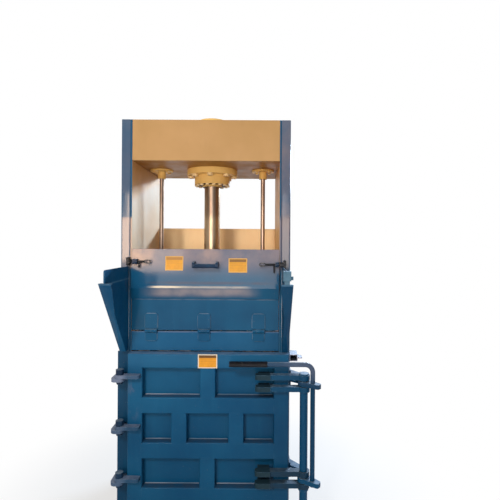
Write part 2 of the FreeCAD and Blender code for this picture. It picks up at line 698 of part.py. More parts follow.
def latch_bolt(side):
    """Slide bolt: a round rod with a finger leg and an elongated loop at its inner end."""
    level, leg_x, leg, _, _ = LATCHES[side]
    near, far = side * BOLT_NEAR, side * BOLT_TIP
    shank = rod(LATCH_ROD, V(far, LATCH_Y, level), V(near, LATCH_Y, level))
    finger = rod(LEG_ROD, V(side * leg_x, LATCH_Y, level), V(side * leg_x, LATCH_Y, level - leg))
    low, high = sorted(side * reach for reach in LOOP_SPAN)

    def slotted(inset):
        """A block with round ends, inset from the loop's outline."""
        x, z = (low + inset, high - inset), (level - LOOP_HALF + inset, level + LOOP_HALF - inset)
        radius = LOOP_HALF - inset - 0.1
        corners = [(x[0], z[0], radius), (x[1], z[0], radius), (x[1], z[1], radius), (x[0], z[1], radius)]
        return along(corners, LATCH_Y - 4, LATCH_Y + 4)
    hole = slotted(LOOP_WALL)
    return welded(shank.cut(hole), finger, slotted(0).cut(hole))


def latch_keeper(side):
    """Bored keeper on the column for the tip of the slide bolt, with a taller outer end plate."""
    level, _, _, _, span = LATCHES[side]
    back, front = -HALF_DEPTH, -HALF_DEPTH - KEEPER_REACH
    end = (span[1] - KEEPER_END, span[1])

    def block(reach, half):
        """A block of the keeper, half its height above and below the bolt."""
        low, high = level - half, level + half
        points = [(back, low), (front, low, 8), (front, high, 8), (back, high)]
        return across(points, *sorted(side * edge for edge in reach))
    bore = rod(LATCH_ROD + 2, V(side * span[0], LATCH_Y, level), V(side * span[1], LATCH_Y, level))
    return welded(block(span, LATCH_ROD), block(end, KEEPER_HALF)).cut(bore)


def feed_parts():
    upper, lower, pins = feed_hinges()
    return {
        "left_cheek": cheek(-1),
        "right_cheek": cheek(1).cut(switch_notch()),
        "safety_switch": safety_switch(),
        "feed_door_panel": feed_door_panel(),
        "feed_door_handle": feed_handle(),
        "feed_hinge_upper_leaves": group(upper),
        "feed_hinge_lower_leaves": group(lower),
        "feed_hinge_pins": group(pins),
        "latch_guides": group(latch_guide(side) for side in (-1, 1)),
        "left_latch_bolt": latch_bolt(-1),
        "right_latch_bolt": latch_bolt(1),
        "latch_keepers": group(latch_keeper(side) for side in (-1, 1)),
    }


# ---- main door -----------------------------------------------------------------------------
def rail(left, right, low, height):
    """Channel along X on the door skin, web outward."""
    section = channel_section(height, RAIL_DEPTH, RIB_WALL)
    return across([(SKIN_FRONT - p[1], low + p[0], *p[2:]) for p in section], left, right)


def stile(left, width, low, high):
    """Channel along Z on the door skin, web outward."""
    section = channel_section(width, RAIL_DEPTH, RIB_WALL)
    return flat([(left + p[0], SKIN_FRONT - p[1], *p[2:]) for p in section], low, high)


def door():
    inner_left, inner_right = DOOR_LEFT + STILE, DOOR_RIGHT - STILE
    rails, rows, low = [], [], DOOR_LOW
    for height in RAILS:
        rails.append(rail(inner_left, inner_right, low, height))
        rows.append(low + height)
        low += height + POCKET
    door_top = rows[-1]
    centres = []
    for row, offsets in zip(rows, ((0,), (-CENTRE_OFFSET, CENTRE_OFFSET), (0,))):
        for offset in offsets:
            left = CENTRE_X + offset - CENTRE_STILE / 2
            centres.append(stile(left, CENTRE_STILE, row, row + POCKET))
    return {
        "door_skin": box((DOOR_LEFT, DOOR_RIGHT), (SKIN_FRONT, DOOR_BACK), (DOOR_LOW, door_top)),
        "door_left_stile": stile(DOOR_LEFT, STILE, DOOR_LOW, door_top),
        "door_right_stile": stile(inner_right, STILE, DOOR_LOW, door_top),
        "door_rails": group(rails),
        "door_centre_stiles": group(centres),
    }


def door_hinges():
    """Flat leaves on the door turn on pins held by brackets that wrap the column's corner.

    A strip down the column's face joins the brackets.
    """
    brackets, leaves, pins = [], [], []
    x, y = DOOR_HINGE.x, DOOR_HINGE.y
    for z in HINGE_LEVELS:
        low, high = z - LEAF_THICK / 2, z + LEAF_THICK / 2
        seat = (low - 0.5 - LEAF_THICK, low - 0.5)
        bracket = flat([(-HALF_WIDTH, -290), (BRACKET_OUT, -302, 6), (BRACKET_OUT, BRACKET_FRONT, 30),
                        (-474, BRACKET_FRONT, 25), (-474, -HALF_DEPTH), (-HALF_WIDTH, -HALF_DEPTH)], *seat)
        brackets.append(bracket.cut(upright(HINGE_PIN, x, y, seat)))
        eye = upright(LEAF_EYE, x, y, (low, high))
        front = RAIL_FRONT - LEAF_DEPTH
        bar = flat([(x, RAIL_FRONT), (LEAF_END, RAIL_FRONT), (LEAF_END, front, 20), (x, front)], low, high)
        leaf = welded(eye, bar)
        leaves.append(leaf.cut(upright(HINGE_PIN + RUNNING, x, y, (low, high))))
        shank = upright(HINGE_PIN, x, y, (seat[0] - 14, high + 0.5))
        head = upright(PIN_HEAD[0], x, y, (high + 0.5, high + 0.5 + PIN_HEAD[1]))
        nut = hexagon(1.5 * HINGE_PIN, x, y, (seat[0] - 15.5, seat[0]))
        pins.append(welded(shank, head, nut))
    strip = box(STRIP_X, (-HALF_DEPTH - STRIP_THICK, -HALF_DEPTH), STRIP_Z).cut(group(brackets))
    return {
        "door_hinge_brackets": group([*brackets, *strip.Solids]),
        "door_hinge_leaves": group(leaves),
        "door_hinge_pins": group(pins),
    }


# ---- door lock -----------------------------------------------------------------------------
def polar(radius, degrees, centre=LOCK):
    """A point around the lock shaft, counted from +X towards +Y."""
    angle = math.radians(degrees)
    return V(centre.x + radius * math.cos(angle), centre.y + radius * math.sin(angle), 0)


def sector(inner, outer, start, end, low, high):
    """A ring sector around the lock shaft, between two heights."""
    middle = (start + end) / 2
    a, b, c = (polar(outer, angle) for angle in (start, middle, end))
    d, e, f = (polar(inner, angle) for angle in (end, middle, start))
    edges = [Part.Arc(a, b, c).toShape(), Part.makeLine(c, d),
             Part.Arc(d, e, f).toShape(), Part.makeLine(f, a)]
    face = Part.Face(Part.Wire(edges))
    face.translate(V(0, 0, low))
    return face.extrude(V(0, 0, high - low))


def fork_arms(level):
    """Two flat arms over the door's edge, each with a rounded head and an eye for the shaft."""
    front = RAIL_FRONT - ARM_DEPTH
    left, neck = ARM_HEAD
    for offset in (-FORK_OFFSET, FORK_OFFSET):
        low, high = level + offset - FORK_THICK / 2, level + offset + FORK_THICK / 2
        bar = flat([(left, RAIL_FRONT, 18), (LOCK.x, RAIL_FRONT), (LOCK.x, front), (neck + 6, front),
                    (neck, front - 6), (left, front - 6, 22)], low, high)
        block = box((left + 17, neck - 5), (RAIL_FRONT, SKIN_FRONT), (low + 4, high - 8))
        eye = upright(2 * FORK_EYE, LOCK.x, LOCK.y, (low, high))
        arm = welded(bar, eye, block)
        yield arm.cut(upright(LOCK_SHAFT + RUNNING, LOCK.x, LOCK.y, (low, high)))


def claw(level):
    """Hook plate on the shaft: a finger behind the keeper pin on one side, the crank web on the other."""
    low, high = level - CLAW_THICK / 2, level + CLAW_THICK / 2
    hub = upright(2 * FORK_EYE, LOCK.x, LOCK.y, (low, high))
    arm = sector(20, CLAW_FINGER[1], 97, 125, low, high)
    finger = sector(*CLAW_FINGER, 60, 125, low, high)
    tip = polar(WEB_REACH, CRANK_ANGLE)
    edges = [polar(33, CRANK_ANGLE + 80), polar(33, CRANK_ANGLE - 80)]
    web = flat([(edges[1].x, edges[1].y), (tip.x - 12, tip.y - 14, 12), (tip.x + 12, tip.y + 14, 12),
                (edges[0].x, edges[0].y)], low, high)
    plate = welded(hub, arm, finger, web)
    plate = plate.cut(upright(LOCK_SHAFT, LOCK.x, LOCK.y, (low, high)))
    crank = polar(CRANK_RADIUS, CRANK_ANGLE)
    return plate.cut(upright(HANDLE_BAR, crank.x, crank.y, (low, high)))


def lock_shaft():
    top = FORK_LEVELS["upper"] + FORK_OFFSET + FORK_THICK / 2
    low = FORK_LEVELS["lower"] - FORK_OFFSET - FORK_THICK / 2
    shank = upright(LOCK_SHAFT, LOCK.x, LOCK.y, (205, top + 0.5))
    cap = upright(60, LOCK.x, LOCK.y, (top + 0.5, top + 8))
    collar = upright(62, LOCK.x, LOCK.y, (low - 14, low - 0.5))
    return welded(shank, cap, collar)


def handle_bar():
    """Round bar up through both crank webs, bent over into the lever in front of the door."""
    crank = polar(CRANK_RADIUS, CRANK_ANGLE)
    low = FORK_LEVELS["lower"] - CLAW_THICK / 2 - 10
    foot, knee = V(crank.x, crank.y, low), V(crank.x, crank.y, LEVER_Z - LEVER_BEND)
    shoulder, tip = V(crank.x - LEVER_BEND, crank.y, LEVER_Z), V(LEVER_LEFT + 4, crank.y, LEVER_Z)
    dip = LEVER_BEND * (1 - math.sqrt(0.5))
    turn = V(crank.x - dip, crank.y, LEVER_Z - dip)
    path = Part.Wire([Part.makeLine(foot, knee), Part.Arc(knee, turn, shoulder).toShape(),
                      Part.makeLine(shoulder, tip)])
    ring = Part.Wire([Part.makeCircle(HANDLE_BAR / 2, foot, V(0, 0, 1))])
    return path.makePipeShell([ring], True, False)


def handle_grip():
    y = polar(CRANK_RADIUS, CRANK_ANGLE).y
    end = LEVER_LEFT + GRIP_LENGTH
    outer = rod(GRIP, V(LEVER_LEFT, y, LEVER_Z), V(end, y, LEVER_Z))
    bore = rod(HANDLE_BAR, V(LEVER_LEFT + 4, y, LEVER_Z), V(end, y, LEVER_Z))
    return outer.cut(bore)


def lock_keeper(level):
    """Keeper on the column's side: a wall plate, two lugs and the pin that the claw hooks."""
    pin = polar(KEEPER_RADIUS, KEEPER_ANGLE)
    face = HALF_WIDTH + 8
    wall = box((HALF_WIDTH, face), KEEPER_WALL, (level - 45, level + 45))
    lug = [(face, KEEPER_WALL[1] - 4), (face, KEEPER_WALL[0] + 4), (pin.x - 16, pin.y - 8, 6),
           (pin.x + 8, pin.y - 14, 8), (pin.x + 15, pin.y + 8, 10)]
    lugs = [flat(lug, level - 27, level - 15), flat(lug, level + 15, level + 27)]
    return welded(wall, *lugs, upright(KEEPER_PIN, pin.x, pin.y, (level - 27, level + 27)))


def handle_socket():
    """Square tube on the column's side that a loose bar is stored in, with a tab beside it."""
    x, y, z, wall = SOCKET_X, SOCKET_Y, SOCKET_Z, SOCKET_WALL
    tube = box(x, y, z).cut(box((x[0] + wall, x[1] - wall), y, (z[0] + wall, z[1] - wall)))
    tab = flat([(x[1], y[0]), (x[1] + 28, y[0], 6), (x[1] + 28, y[0] + 50, 20), (x[1], y[0] + 70)],
               z[0] + 17, z[0] + 25)
    return welded(tube, tab)


def lock_parts():
    return {
        "upper_fork_arms": group(fork_arms(FORK_LEVELS["upper"])),
        "lower_fork_arms": group(fork_arms(FORK_LEVELS["lower"])),
        "lock_shaft": lock_shaft(),
        "upper_lock_claw": claw(FORK_LEVELS["upper"]),
        "lower_lock_claw": claw(FORK_LEVELS["lower"]),
        "handle_bar": handle_bar(),
        "handle_grip": handle_grip(),
        "lock_keepers": group(lock_keeper(level) for level in FORK_LEVELS.values()),
        "handle_socket": handle_socket(),
    }


def main():
    sections = (side_frames, body_panels, crosshead, cylinder, ram, feed_parts, door, door_hinges, lock_parts)
    nodes = {}
    for section in sections:
        nodes.update(section())
    os.makedirs("parts", exist_ok=True)
    for name, shape in nodes.items():
        shape.exportStep(f"parts/{name}.step")
    print(len(nodes), "nodes")


main()
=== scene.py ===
import math

import bmesh
import bpy
from mathutils import Matrix, Vector


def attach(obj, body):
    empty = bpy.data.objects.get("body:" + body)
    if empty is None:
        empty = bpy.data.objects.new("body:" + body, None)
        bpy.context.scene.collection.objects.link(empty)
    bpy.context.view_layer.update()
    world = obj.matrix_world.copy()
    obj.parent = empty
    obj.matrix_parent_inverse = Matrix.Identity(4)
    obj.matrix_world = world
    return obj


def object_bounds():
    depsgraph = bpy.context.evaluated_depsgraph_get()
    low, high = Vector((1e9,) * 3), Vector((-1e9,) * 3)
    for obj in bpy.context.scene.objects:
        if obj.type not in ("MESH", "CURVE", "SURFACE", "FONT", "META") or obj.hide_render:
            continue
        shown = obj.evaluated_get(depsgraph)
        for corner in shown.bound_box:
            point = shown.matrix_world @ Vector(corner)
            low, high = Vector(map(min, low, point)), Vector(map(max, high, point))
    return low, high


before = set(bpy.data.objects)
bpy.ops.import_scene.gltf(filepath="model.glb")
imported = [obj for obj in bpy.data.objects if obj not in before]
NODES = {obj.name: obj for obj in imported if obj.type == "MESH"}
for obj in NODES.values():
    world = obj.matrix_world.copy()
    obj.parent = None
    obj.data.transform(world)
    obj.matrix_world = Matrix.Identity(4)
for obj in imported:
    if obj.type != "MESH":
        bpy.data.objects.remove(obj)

CAD_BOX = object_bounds()


# ---------------------------------------------------------------- camera

CAMERA_PLACE = (0.325, -2.862, 1.757)
CAMERA_ROLL = math.radians(0.355)
CAMERA_LENS = 29.16
CAMERA_SHIFT = (-0.016, -0.0128)
SENSOR = 36.0


def make_camera():
    """The photograph's camera: square to the front and level but for a small roll."""
    forward, right, up = Vector((0, 1, 0)), Vector((1, 0, 0)), Vector((0, 0, 1))
    c, s = math.cos(CAMERA_ROLL), math.sin(CAMERA_ROLL)
    right, up = c * right + s * up, c * up - s * right
    data = bpy.data.cameras.new("camera")
    data.lens = CAMERA_LENS
    data.sensor_width = SENSOR
    data.sensor_fit = "HORIZONTAL"
    data.shift_x, data.shift_y = CAMERA_SHIFT
    data.clip_end = 100
    camera = bpy.data.objects.new("camera", data)
    bpy.context.collection.objects.link(camera)
    turn = Matrix((right, up, -forward)).transposed().to_4x4()
    camera.matrix_world = Matrix.Translation(CAMERA_PLACE) @ turn
    bpy.context.scene.camera = camera


# ---------------------------------------------------------------- node helpers

def rgb(r, g, b):
    """A linear colour from 0-255 screen values."""
    def linear(v):
        v /= 255
        return v / 12.92 if v <= 0.04045 else ((v + 0.055) / 1.055) ** 2.4
    return (linear(r), linear(g), linear(b), 1.0)


def node(tree, kind, settings=None, **inputs):
    """Adds a shader node. An input, called by its name or as i and its number, is a value or
    another node's output."""
    new = tree.nodes.new("ShaderNode" + kind)
    for key, value in (settings or {}).items():
        setattr(new, key, value)
    for key, value in inputs.items():
        by_number = key[1:].isdigit()
        socket = new.inputs[int(key[1:]) if by_number else key.replace("_", " ")]
        if isinstance(value, bpy.types.NodeSocket):
            tree.links.new(value, socket)
        else:
            socket.default_value = value
    return new


def place(tree, stretch=None):
    """Object coordinates, in metres on the part, stretched by a factor an axis."""
    coords = node(tree, "TexCoord").outputs["Object"]
    if stretch:
        coords = node(tree, "Mapping", Vector=coords, Scale=stretch).outputs[0]
    return coords


def noise(tree, scale, detail=3.0, rough=0.5, stretch=None):
    return node(tree, "TexNoise", Vector=place(tree, stretch), Scale=scale, Detail=detail,
                Roughness=rough).outputs[0]


def remap(tree, value, low, high, to_low=0.0, to_high=1.0):
    """A smooth step: to_low where the value is low, to_high where it is high."""
    settings = {"interpolation_type": "SMOOTHSTEP"}
    return node(tree, "MapRange", settings, Value=value, From_Min=low, From_Max=high,
                To_Min=to_low, To_Max=to_high).outputs[0]


def calc(tree, operation, a, b):
    """An operation on two values, held between 0 and 1."""
    return node(tree, "Math", {"operation": operation, "use_clamp": True}, i0=a, i1=b).outputs[0]


def times(tree, first, *others):
    for other in others:
        first = calc(tree, "MULTIPLY", first, other)
    return first


def unclamped(tree, operation, *values):
    inputs = {f"i{k}": value for k, value in enumerate(values)}
    return node(tree, "Math", {"operation": operation}, **inputs).outputs[0]


def mix(tree, factor, a, b):
    return node(tree, "Mix", {"data_type": "RGBA"}, i0=factor, i6=a, i7=b).outputs[2]


def axis(tree, letter):
    return node(tree, "SeparateXYZ", Vector=place(tree)).outputs["XYZ".index(letter)]


def along(tree, letter, low, high, to_low=0.0, to_high=1.0):
    """A smooth step between two places along an axis."""
    return remap(tree, axis(tree, letter), low, high, to_low, to_high)


def band(tree, letter, low, high, soft):
    """1 between two places along an axis, falling to 0 over the soft length outside."""
    value = axis(tree, letter)
    rise = remap(tree, value, low - soft, low + soft)
    fall = remap(tree, value, high - soft, high + soft, 1.0, 0.0)
    return times(tree, rise, fall)


def edges(tree, radius):
    """1 on the part's corners and 0 on its flats, from a rounded normal."""
    rounded = node(tree, "Bevel", {"samples": 4}, Radius=radius).outputs[0]
    flat = node(tree, "NewGeometry").outputs["Normal"]
    same = node(tree, "VectorMath", {"operation": "DOT_PRODUCT"}, i0=rounded, i1=flat)
    return remap(tree, same.outputs["Value"], 0.99, 0.8)


def facing(tree, letter, low, high):
    """1 on faces whose own normal, as the part has it, passes high along an axis."""
    normal = node(tree, "TexCoord").outputs["Normal"]
    parts = node(tree, "SeparateXYZ", Vector=normal).outputs
    return remap(tree, parts["XYZ".index(letter)], low, high)


def facing_up(tree):
    return facing(tree, "Z", 0.6, 0.95)


def facing_down(tree):
    return facing(tree, "Z", -0.6, -0.9)


def facing_front(tree):
    return facing(tree, "Y", -0.6, -0.9)


# ---------------------------------------------------------------- masks
#
# Each takes a material's tree and gives 0 to 1 by place on the part, in metres, and by the
# part's own normals.

LEFT, RIGHT = -1, 1                 # the machine's sides as seen from its front
FEED_FACE = -0.355                  # Y near the face of the feed door's upper panel
FOLD_LEFT = -0.33                   # where the painted highlight and shade lines at the feed door's fold begin
REFLECTION_Z = (1.60, 1.915)             # heights of the columns' painted reflections, from the hopper's head to the line below the crosshead
PLATE_EDGE_Y = (-0.3497, -0.3487)   # just behind the side plates' front edges
PLATE_OUTSIDE_X = (0.4645, 0.4655)  # just inside the side plates' outer faces
STREAKED = (1.0, 1.0, 3.0)          # draws noise out along X and Y


def spot(tree, point, radius):
    """1 at a point, falling to 0 at the radius."""
    gap = node(tree, "VectorMath", {"operation": "DISTANCE"}, i0=place(tree), i1=point)
    return remap(tree, gap.outputs["Value"], radius * 0.2, radius, 1.0, 0.0)


def rectangle(tree, x, z, soft_x, soft_z):
    """1 inside a rectangle seen from the front, with soft sides."""
    return times(tree, band(tree, "Z", *z, soft_z), band(tree, "X", *x, soft_x))


def patches(tree, scale, spread, strength, rough=0.5, stretch=None):
    """Cloudy wear: its strength goes from low to high where the noise crosses the spread."""
    return remap(tree, noise(tree, scale, 4.0, rough, stretch), *spread, *strength)


def at_side(tree, side, most=1.0):
    """0 in the machine's middle, rising to most at one side frame."""
    return along(tree, "X", side * 0.4, side * 0.45, 0.0, most)


def column_reflection(tree):
    """Painted reflection: a grey sheen on the columns' fronts above the hopper, a little of it on
    their sides.
    """
    level = times(tree, along(tree, "Z", 1.55, 2.0), along(tree, "X", -0.5, 0.5, 0.45, 1.0))
    return times(tree, level, remap(tree, facing_front(tree), 0.0, 1.0, 0.25, 1.0))


def feed_reflection(tree):
    """Painted reflection on the feed door's upper panel, apart from the strip beside the left
    cheek, where the cheek hides what the panel reflects.
    """
    clear = calc(tree, "MAXIMUM", along(tree, "X", -0.42, -0.31), along(tree, "Z", 1.60, 1.63))
    return times(tree, along(tree, "Z", 1.53, 1.68), clear)


def warm_reflection_patches(tree):
    """Painted reflection: pale warm patches at the panel's upper left corner and above its handle.
    """
    above_handle = times(tree, spot(tree, (0.03, FEED_FACE, 1.685), 0.10), 0.5)
    level = calc(tree, "MAXIMUM", spot(tree, (-0.41, FEED_FACE, 1.70), 0.13), above_handle)
    return times(tree, level, patches(tree, 11.0, (0.3, 0.6), (0.2, 0.8)))


def ridge_sheen(tree):
    """Painted sheen: the band below the feed door's fold, where the bend catches the light."""
    level = rectangle(tree, (FOLD_LEFT, 0.28), (1.43, 1.48), 0.09, 0.018)
    return times(tree, level, patches(tree, 6.0, (0.3, 0.6), (0.3, 0.75)))


def ridge_highlight(tree):
    """Painted highlight: the bright line along the feed door's fold, brightest at its left end."""
    level = rectangle(tree, (FOLD_LEFT, 0.26), (1.481, 1.493), 0.04, 0.004)
    return times(tree, level, along(tree, "X", -0.22, -0.08, 1.0, 0.35),
                 patches(tree, 16.0, (0.3, 0.55), (0.3, 1.0), 0.6, STREAKED))


def fold_shade(tree):
    """Painted shade: the dark line above the feed door's fold."""
    level = rectangle(tree, (FOLD_LEFT, 0.40), (1.504, 1.520), 0.06, 0.006)
    return times(tree, level, patches(tree, 12.0, (0.35, 0.6), (0.4, 0.9), 0.6, STREAKED))


def lower_fold_highlight(tree):
    """Painted highlight: the light line along the feed door's lower fold."""
    level = rectangle(tree, (-0.43, 0.43), (1.405, 1.412), 0.02, 0.003)
    return times(tree, level, patches(tree, 9.0, (0.35, 0.6), (0.2, 0.6), 0.6, STREAKED))


def lintel_edge_highlight(tree):
    """Painted highlight: the light line along the lintel's upper corner."""
    return times(tree, band(tree, "Z", 1.203, 1.212, 0.002),
                 patches(tree, 14.0, (0.3, 0.6), (0.25, 0.7)))


def door_top_highlight(tree):
    """Painted highlight, patchy, on the main door's top face where it catches the light."""
    return times(tree, facing_up(tree), along(tree, "Z", 1.07, 1.08),
                 patches(tree, 20.0, (0.3, 0.65), (0.5, 0.9)))


def door_head(tree):
    """Lighter paint along the main door's top rail."""
    return along(tree, "Z", 0.98, 1.05, 0.0, 0.35)


def stile_scuffs(tree):
    """Rubbing on the left stile between the upper hinges."""
    rubbed = remap(tree, noise(tree, 18.0, 5.0, 0.6, (1.0, 1.0, 0.5)), 0.48, 0.7, 0.0, 0.5)
    return times(tree, rectangle(tree, (-0.455, -0.40), (0.70, 0.93), 0.02, 0.05), rubbed)


def fork_heads(tree):
    """The dark thicker heads of the fork arms, all but their corners."""
    return times(tree, along(tree, "X", 0.402, 0.406, 1.0, 0.0),
                 calc(tree, "SUBTRACT", 0.92, edges(tree, 0.005)))


def dark_arm_patches(tree):
    """Dark patches on the fork arms, most on the lower pair."""
    return times(tree, along(tree, "Z", 0.4, 0.8, 0.7, 0.15),
                 patches(tree, 16.0, (0.3, 0.6), (0.7, 1.0)))


def hinge_dust_and_sheen(tree):
    """Paler dusty paint and a painted sheen on the hinge plates, most on the upper one and outside
    the door's edge.
    """
    return times(tree, along(tree, "Z", 0.70, 0.93, 0.3, 0.75),
                 along(tree, "X", -0.49, -0.44, 1.0, 0.25),
                 along(tree, "Y", -0.362, -0.360, 1.0, 0.0))


def bar_head(tree):
    """Paler paint on the handle bar's head, most towards its outer end."""
    return times(tree, along(tree, "Z", 0.90, 1.02, 0.0, 0.45),
                 along(tree, "X", 0.45, 0.56, 0.35, 1.0))


def cheek_head_highlight(tree):
    """Painted highlight: a bright line along the heads of the cheeks' rims."""
    return times(tree, band(tree, "Z", 1.532, 1.541, 0.002),
                 patches(tree, 20.0, (0.3, 0.6), (0.4, 0.9)))


def left_reflection(tree):
    """Painted reflection: a pale warm patch on the left column above the hopper."""
    return times(tree, band(tree, "Z", *REFLECTION_Z, 0.008), at_side(tree, LEFT, 0.22),
                 facing_front(tree))


def right_reflection(tree):
    """Painted reflection: a warm grey patch on the right column above the hopper, ending a little
    higher.
    """
    return times(tree, band(tree, "Z", REFLECTION_Z[0], 1.93, 0.03), at_side(tree, RIGHT, 0.35),
                 facing_front(tree))


def front_edge(tree):
    """The side plates' front edges, which show beside the columns."""
    return along(tree, "Y", *PLATE_EDGE_Y, 1.0, 0.0)


def left_edge_reflection(tree):
    """The left column's painted reflection, carried on over the side plate's edge."""
    edge = times(tree, front_edge(tree), at_side(tree, LEFT, 0.8))
    return times(tree, band(tree, "Z", *REFLECTION_Z, 0.01), edge)


def right_edge_reflection(tree):
    """The right column's painted reflection, carried on over the side plate's edge."""
    return times(tree, band(tree, "Z", *REFLECTION_Z, 0.03), front_edge(tree),
                 at_side(tree, RIGHT, 0.8))


def sunlit_patch(tree):
    """Painted light on the left plate's inner face: a pale chalky patch below the line of the
    crosshead's shadow.
    """
    line = unclamped(tree, "MULTIPLY_ADD", axis(tree, "Y"), -0.287, axis(tree, "Z"))
    return times(tree, remap(tree, line, 2.10, 2.17, 1.0, 0.0), at_side(tree, LEFT),
                 patches(tree, 4.0, (0.3, 0.7), (0.35, 0.6), 0.6))


def outside_plate(tree):
    """The side plates' outer faces."""
    return remap(tree, unclamped(tree, "ABSOLUTE", axis(tree, "X")), *PLATE_OUTSIDE_X)


def outside_wall(tree):
    """The back wall's outer face and rims: all but the face towards the front."""
    return remap(tree, facing_front(tree), 0.0, 1.0, 1.0, 0.0)


# ---------------------------------------------------------------- materials

def material(name):
    new = bpy.data.materials.new(name)
    new.use_nodes = True
    return new, new.node_tree, new.node_tree.nodes["Principled BSDF"]


def finish(tree, shader, color, rough, height, depth, **constants):
    """Links colour, roughness and bump; constants go on the shader's own sockets."""
    tree.links.new(color, shader.inputs["Base Color"])
    tree.links.new(rough, shader.inputs["Roughness"])
    bump = node(tree, "Bump", Height=height, Distance=depth, Strength=1.0)
    tree.links.new(bump.outputs[0], shader.inputs["Normal"])
    for key, value in constants.items():
        shader.inputs[key.replace("_", " ")].default_value = value


def enamel(name, deep, pale, gloss=0.15, film=None, reflection_mask=None, top_dust_and_shading=(0.2, 0.27, 0.34, 1.0),
           wear=0.55, right_shade=0.3):
    """Sprayed blue: cloudy colour, run marks, painted shade low down and to the right, a painted
    reflection where asked, dusty upward faces with painted light and shade, rubbed corners that
    are partly a painted highlight, and specks."""
    run_mark, shade, primer_and_sheen, speck = (rgb(30, 96, 134), rgb(2, 44, 74), rgb(112, 144, 164),
                                      rgb(150, 140, 135))
    made, tree, shader = material(name)
    clouds = remap(tree, noise(tree, 2.2, 4.0, 0.55), 0.32, 0.68)
    runs = remap(tree, noise(tree, 3.0, 5.0, 0.6, (9.0, 9.0, 0.7)), 0.52, 0.78)
    color = mix(tree, clouds, deep, pale)
    color = mix(tree, times(tree, runs, 0.22), color, run_mark)
    # Painted shade: the paint darkens towards the shade colour low down and towards the right,
    # where less light falls.
    low_right_shade = calc(tree, "ADD", along(tree, "Z", 0.2, 1.15, 0.34, 0.0),
                along(tree, "X", 0.1, 0.5, 0.0, right_shade))
    color = mix(tree, low_right_shade, color, shade)
    # Painted reflection: where asked, the film colour is laid over the paint as a patchy reflected
    # sheen.
    if film:
        painted_reflection = times(tree, reflection_mask(tree),
                     remap(tree, noise(tree, 3.5, 5.0, 0.6), 0.2, 0.75, 0.2, 0.75))
        color = mix(tree, painted_reflection, color, film)
    # Upward faces take a dusty colour that also stands in for light: paler where tops catch the
    # light, and on the main door darker as painted shade.
    grain = remap(tree, noise(tree, 28.0, 5.0, 0.65), 0.3, 0.7, 0.2, 0.6)
    color = mix(tree, times(tree, facing_up(tree), grain), color, top_dust_and_shading)
    # Rubbed corners: paler paint showing through, partly a painted highlight along the edges.
    rubbed = times(tree, edges(tree, 0.004), remap(tree, noise(tree, 30.0, 4.0), 0.45, 0.62))
    color = mix(tree, times(tree, rubbed, wear), color, primer_and_sheen)
    specks = remap(tree, noise(tree, 160.0, 2.0, 0.5), 0.71, 0.77)
    color = mix(tree, times(tree, specks, 0.4), color, speck)
    rough = remap(tree, noise(tree, 7.0, 5.0, 0.6), 0.3, 0.7, 0.38, 0.55)
    peel = noise(tree, 240.0, 2.0, 0.5)
    wave = noise(tree, 6.0, 2.0, 0.4)
    height = unclamped(tree, "MULTIPLY_ADD", wave, 9.0, peel)
    finish(tree, shader, color, rough, height, 0.00016, Specular_IOR_Level=0.08,
           Coat_Weight=gloss, Coat_Roughness=0.07)
    return made


def cream(name, deep, pale, stain):
    """Satin cream paint: brush clouds, faint vertical streaks, stains and rubbed corners."""
    rubbed_through = rgb(150, 118, 78)
    made, tree, shader = material(name)
    clouds = remap(tree, noise(tree, 1.6, 4.0, 0.55), 0.32, 0.68)
    color = mix(tree, clouds, deep, pale)
    streaks = remap(tree, noise(tree, 5.0, 4.0, 0.55, (4.0, 4.0, 0.9)), 0.5, 0.8)
    color = mix(tree, times(tree, streaks, 0.16), color, stain)
    grime = remap(tree, noise(tree, 14.0, 6.0, 0.66), 0.58, 0.8)
    color = mix(tree, times(tree, grime, 0.2), color, stain)
    rubbed = times(tree, edges(tree, 0.003), remap(tree, noise(tree, 35.0, 4.0), 0.42, 0.6))
    color = mix(tree, times(tree, rubbed, 0.5), color, rubbed_through)
    rough = remap(tree, noise(tree, 9.0, 5.0, 0.6), 0.3, 0.7, 0.36, 0.55)
    peel = noise(tree, 260.0, 2.0, 0.5)
    wave = noise(tree, 7.0, 2.0, 0.4)
    height = unclamped(tree, "MULTIPLY_ADD", wave, 6.0, peel)
    finish(tree, shader, color, rough, height, 0.0002, Specular_IOR_Level=0.1,
           Coat_Weight=0.04, Coat_Roughness=0.25)
    return made


def overpaint(paint, mask, color):
    """Lays a second colour over a finished paint where the mask is 1."""
    tree = paint.node_tree
    socket = tree.nodes["Principled BSDF"].inputs["Base Color"]
    under = socket.links[0].from_socket
    tree.links.new(mix(tree, mask(tree), under, color), socket)
    return paint


def chrome(name, clean, filmed, dark_reflection_from=None):
    """Hard chrome with an oil film, fine length scratches and small spots of lost shine, and
    painted darker above a height where asked, standing in for a dimmer reflection there."""
    dark_reflection_tint, spotted = rgb(124, 106, 104), rgb(110, 88, 70)
    made, tree, shader = material(name)
    film = remap(tree, noise(tree, 5.0, 5.0, 0.6, (1.0, 1.0, 0.35)), 0.4, 0.7)
    color = mix(tree, film, clean, filmed)
    # Painted reflection: above the given height the chrome is tinted darker, standing in for the
    # dimmer room that the upper ram reflects.
    if dark_reflection_from:
        upper_dark = along(tree, "Z", dark_reflection_from - 0.04, dark_reflection_from + 0.03, 0.0, 0.5)
        color = mix(tree, upper_dark, color, dark_reflection_tint)
    spots = remap(tree, noise(tree, 90.0, 3.0), 0.66, 0.74)
    color = mix(tree, times(tree, spots, 0.4), color, spotted)
    scratch = noise(tree, 60.0, 3.0, 0.6, (6.0, 6.0, 0.25))
    rough = remap(tree, scratch, 0.3, 0.7, 0.33, 0.42)
    finish(tree, shader, color, rough, scratch, 0.00006, Metallic=1.0,
           Specular_Tint=(0.42, 0.3, 0.22, 1.0))
    return made


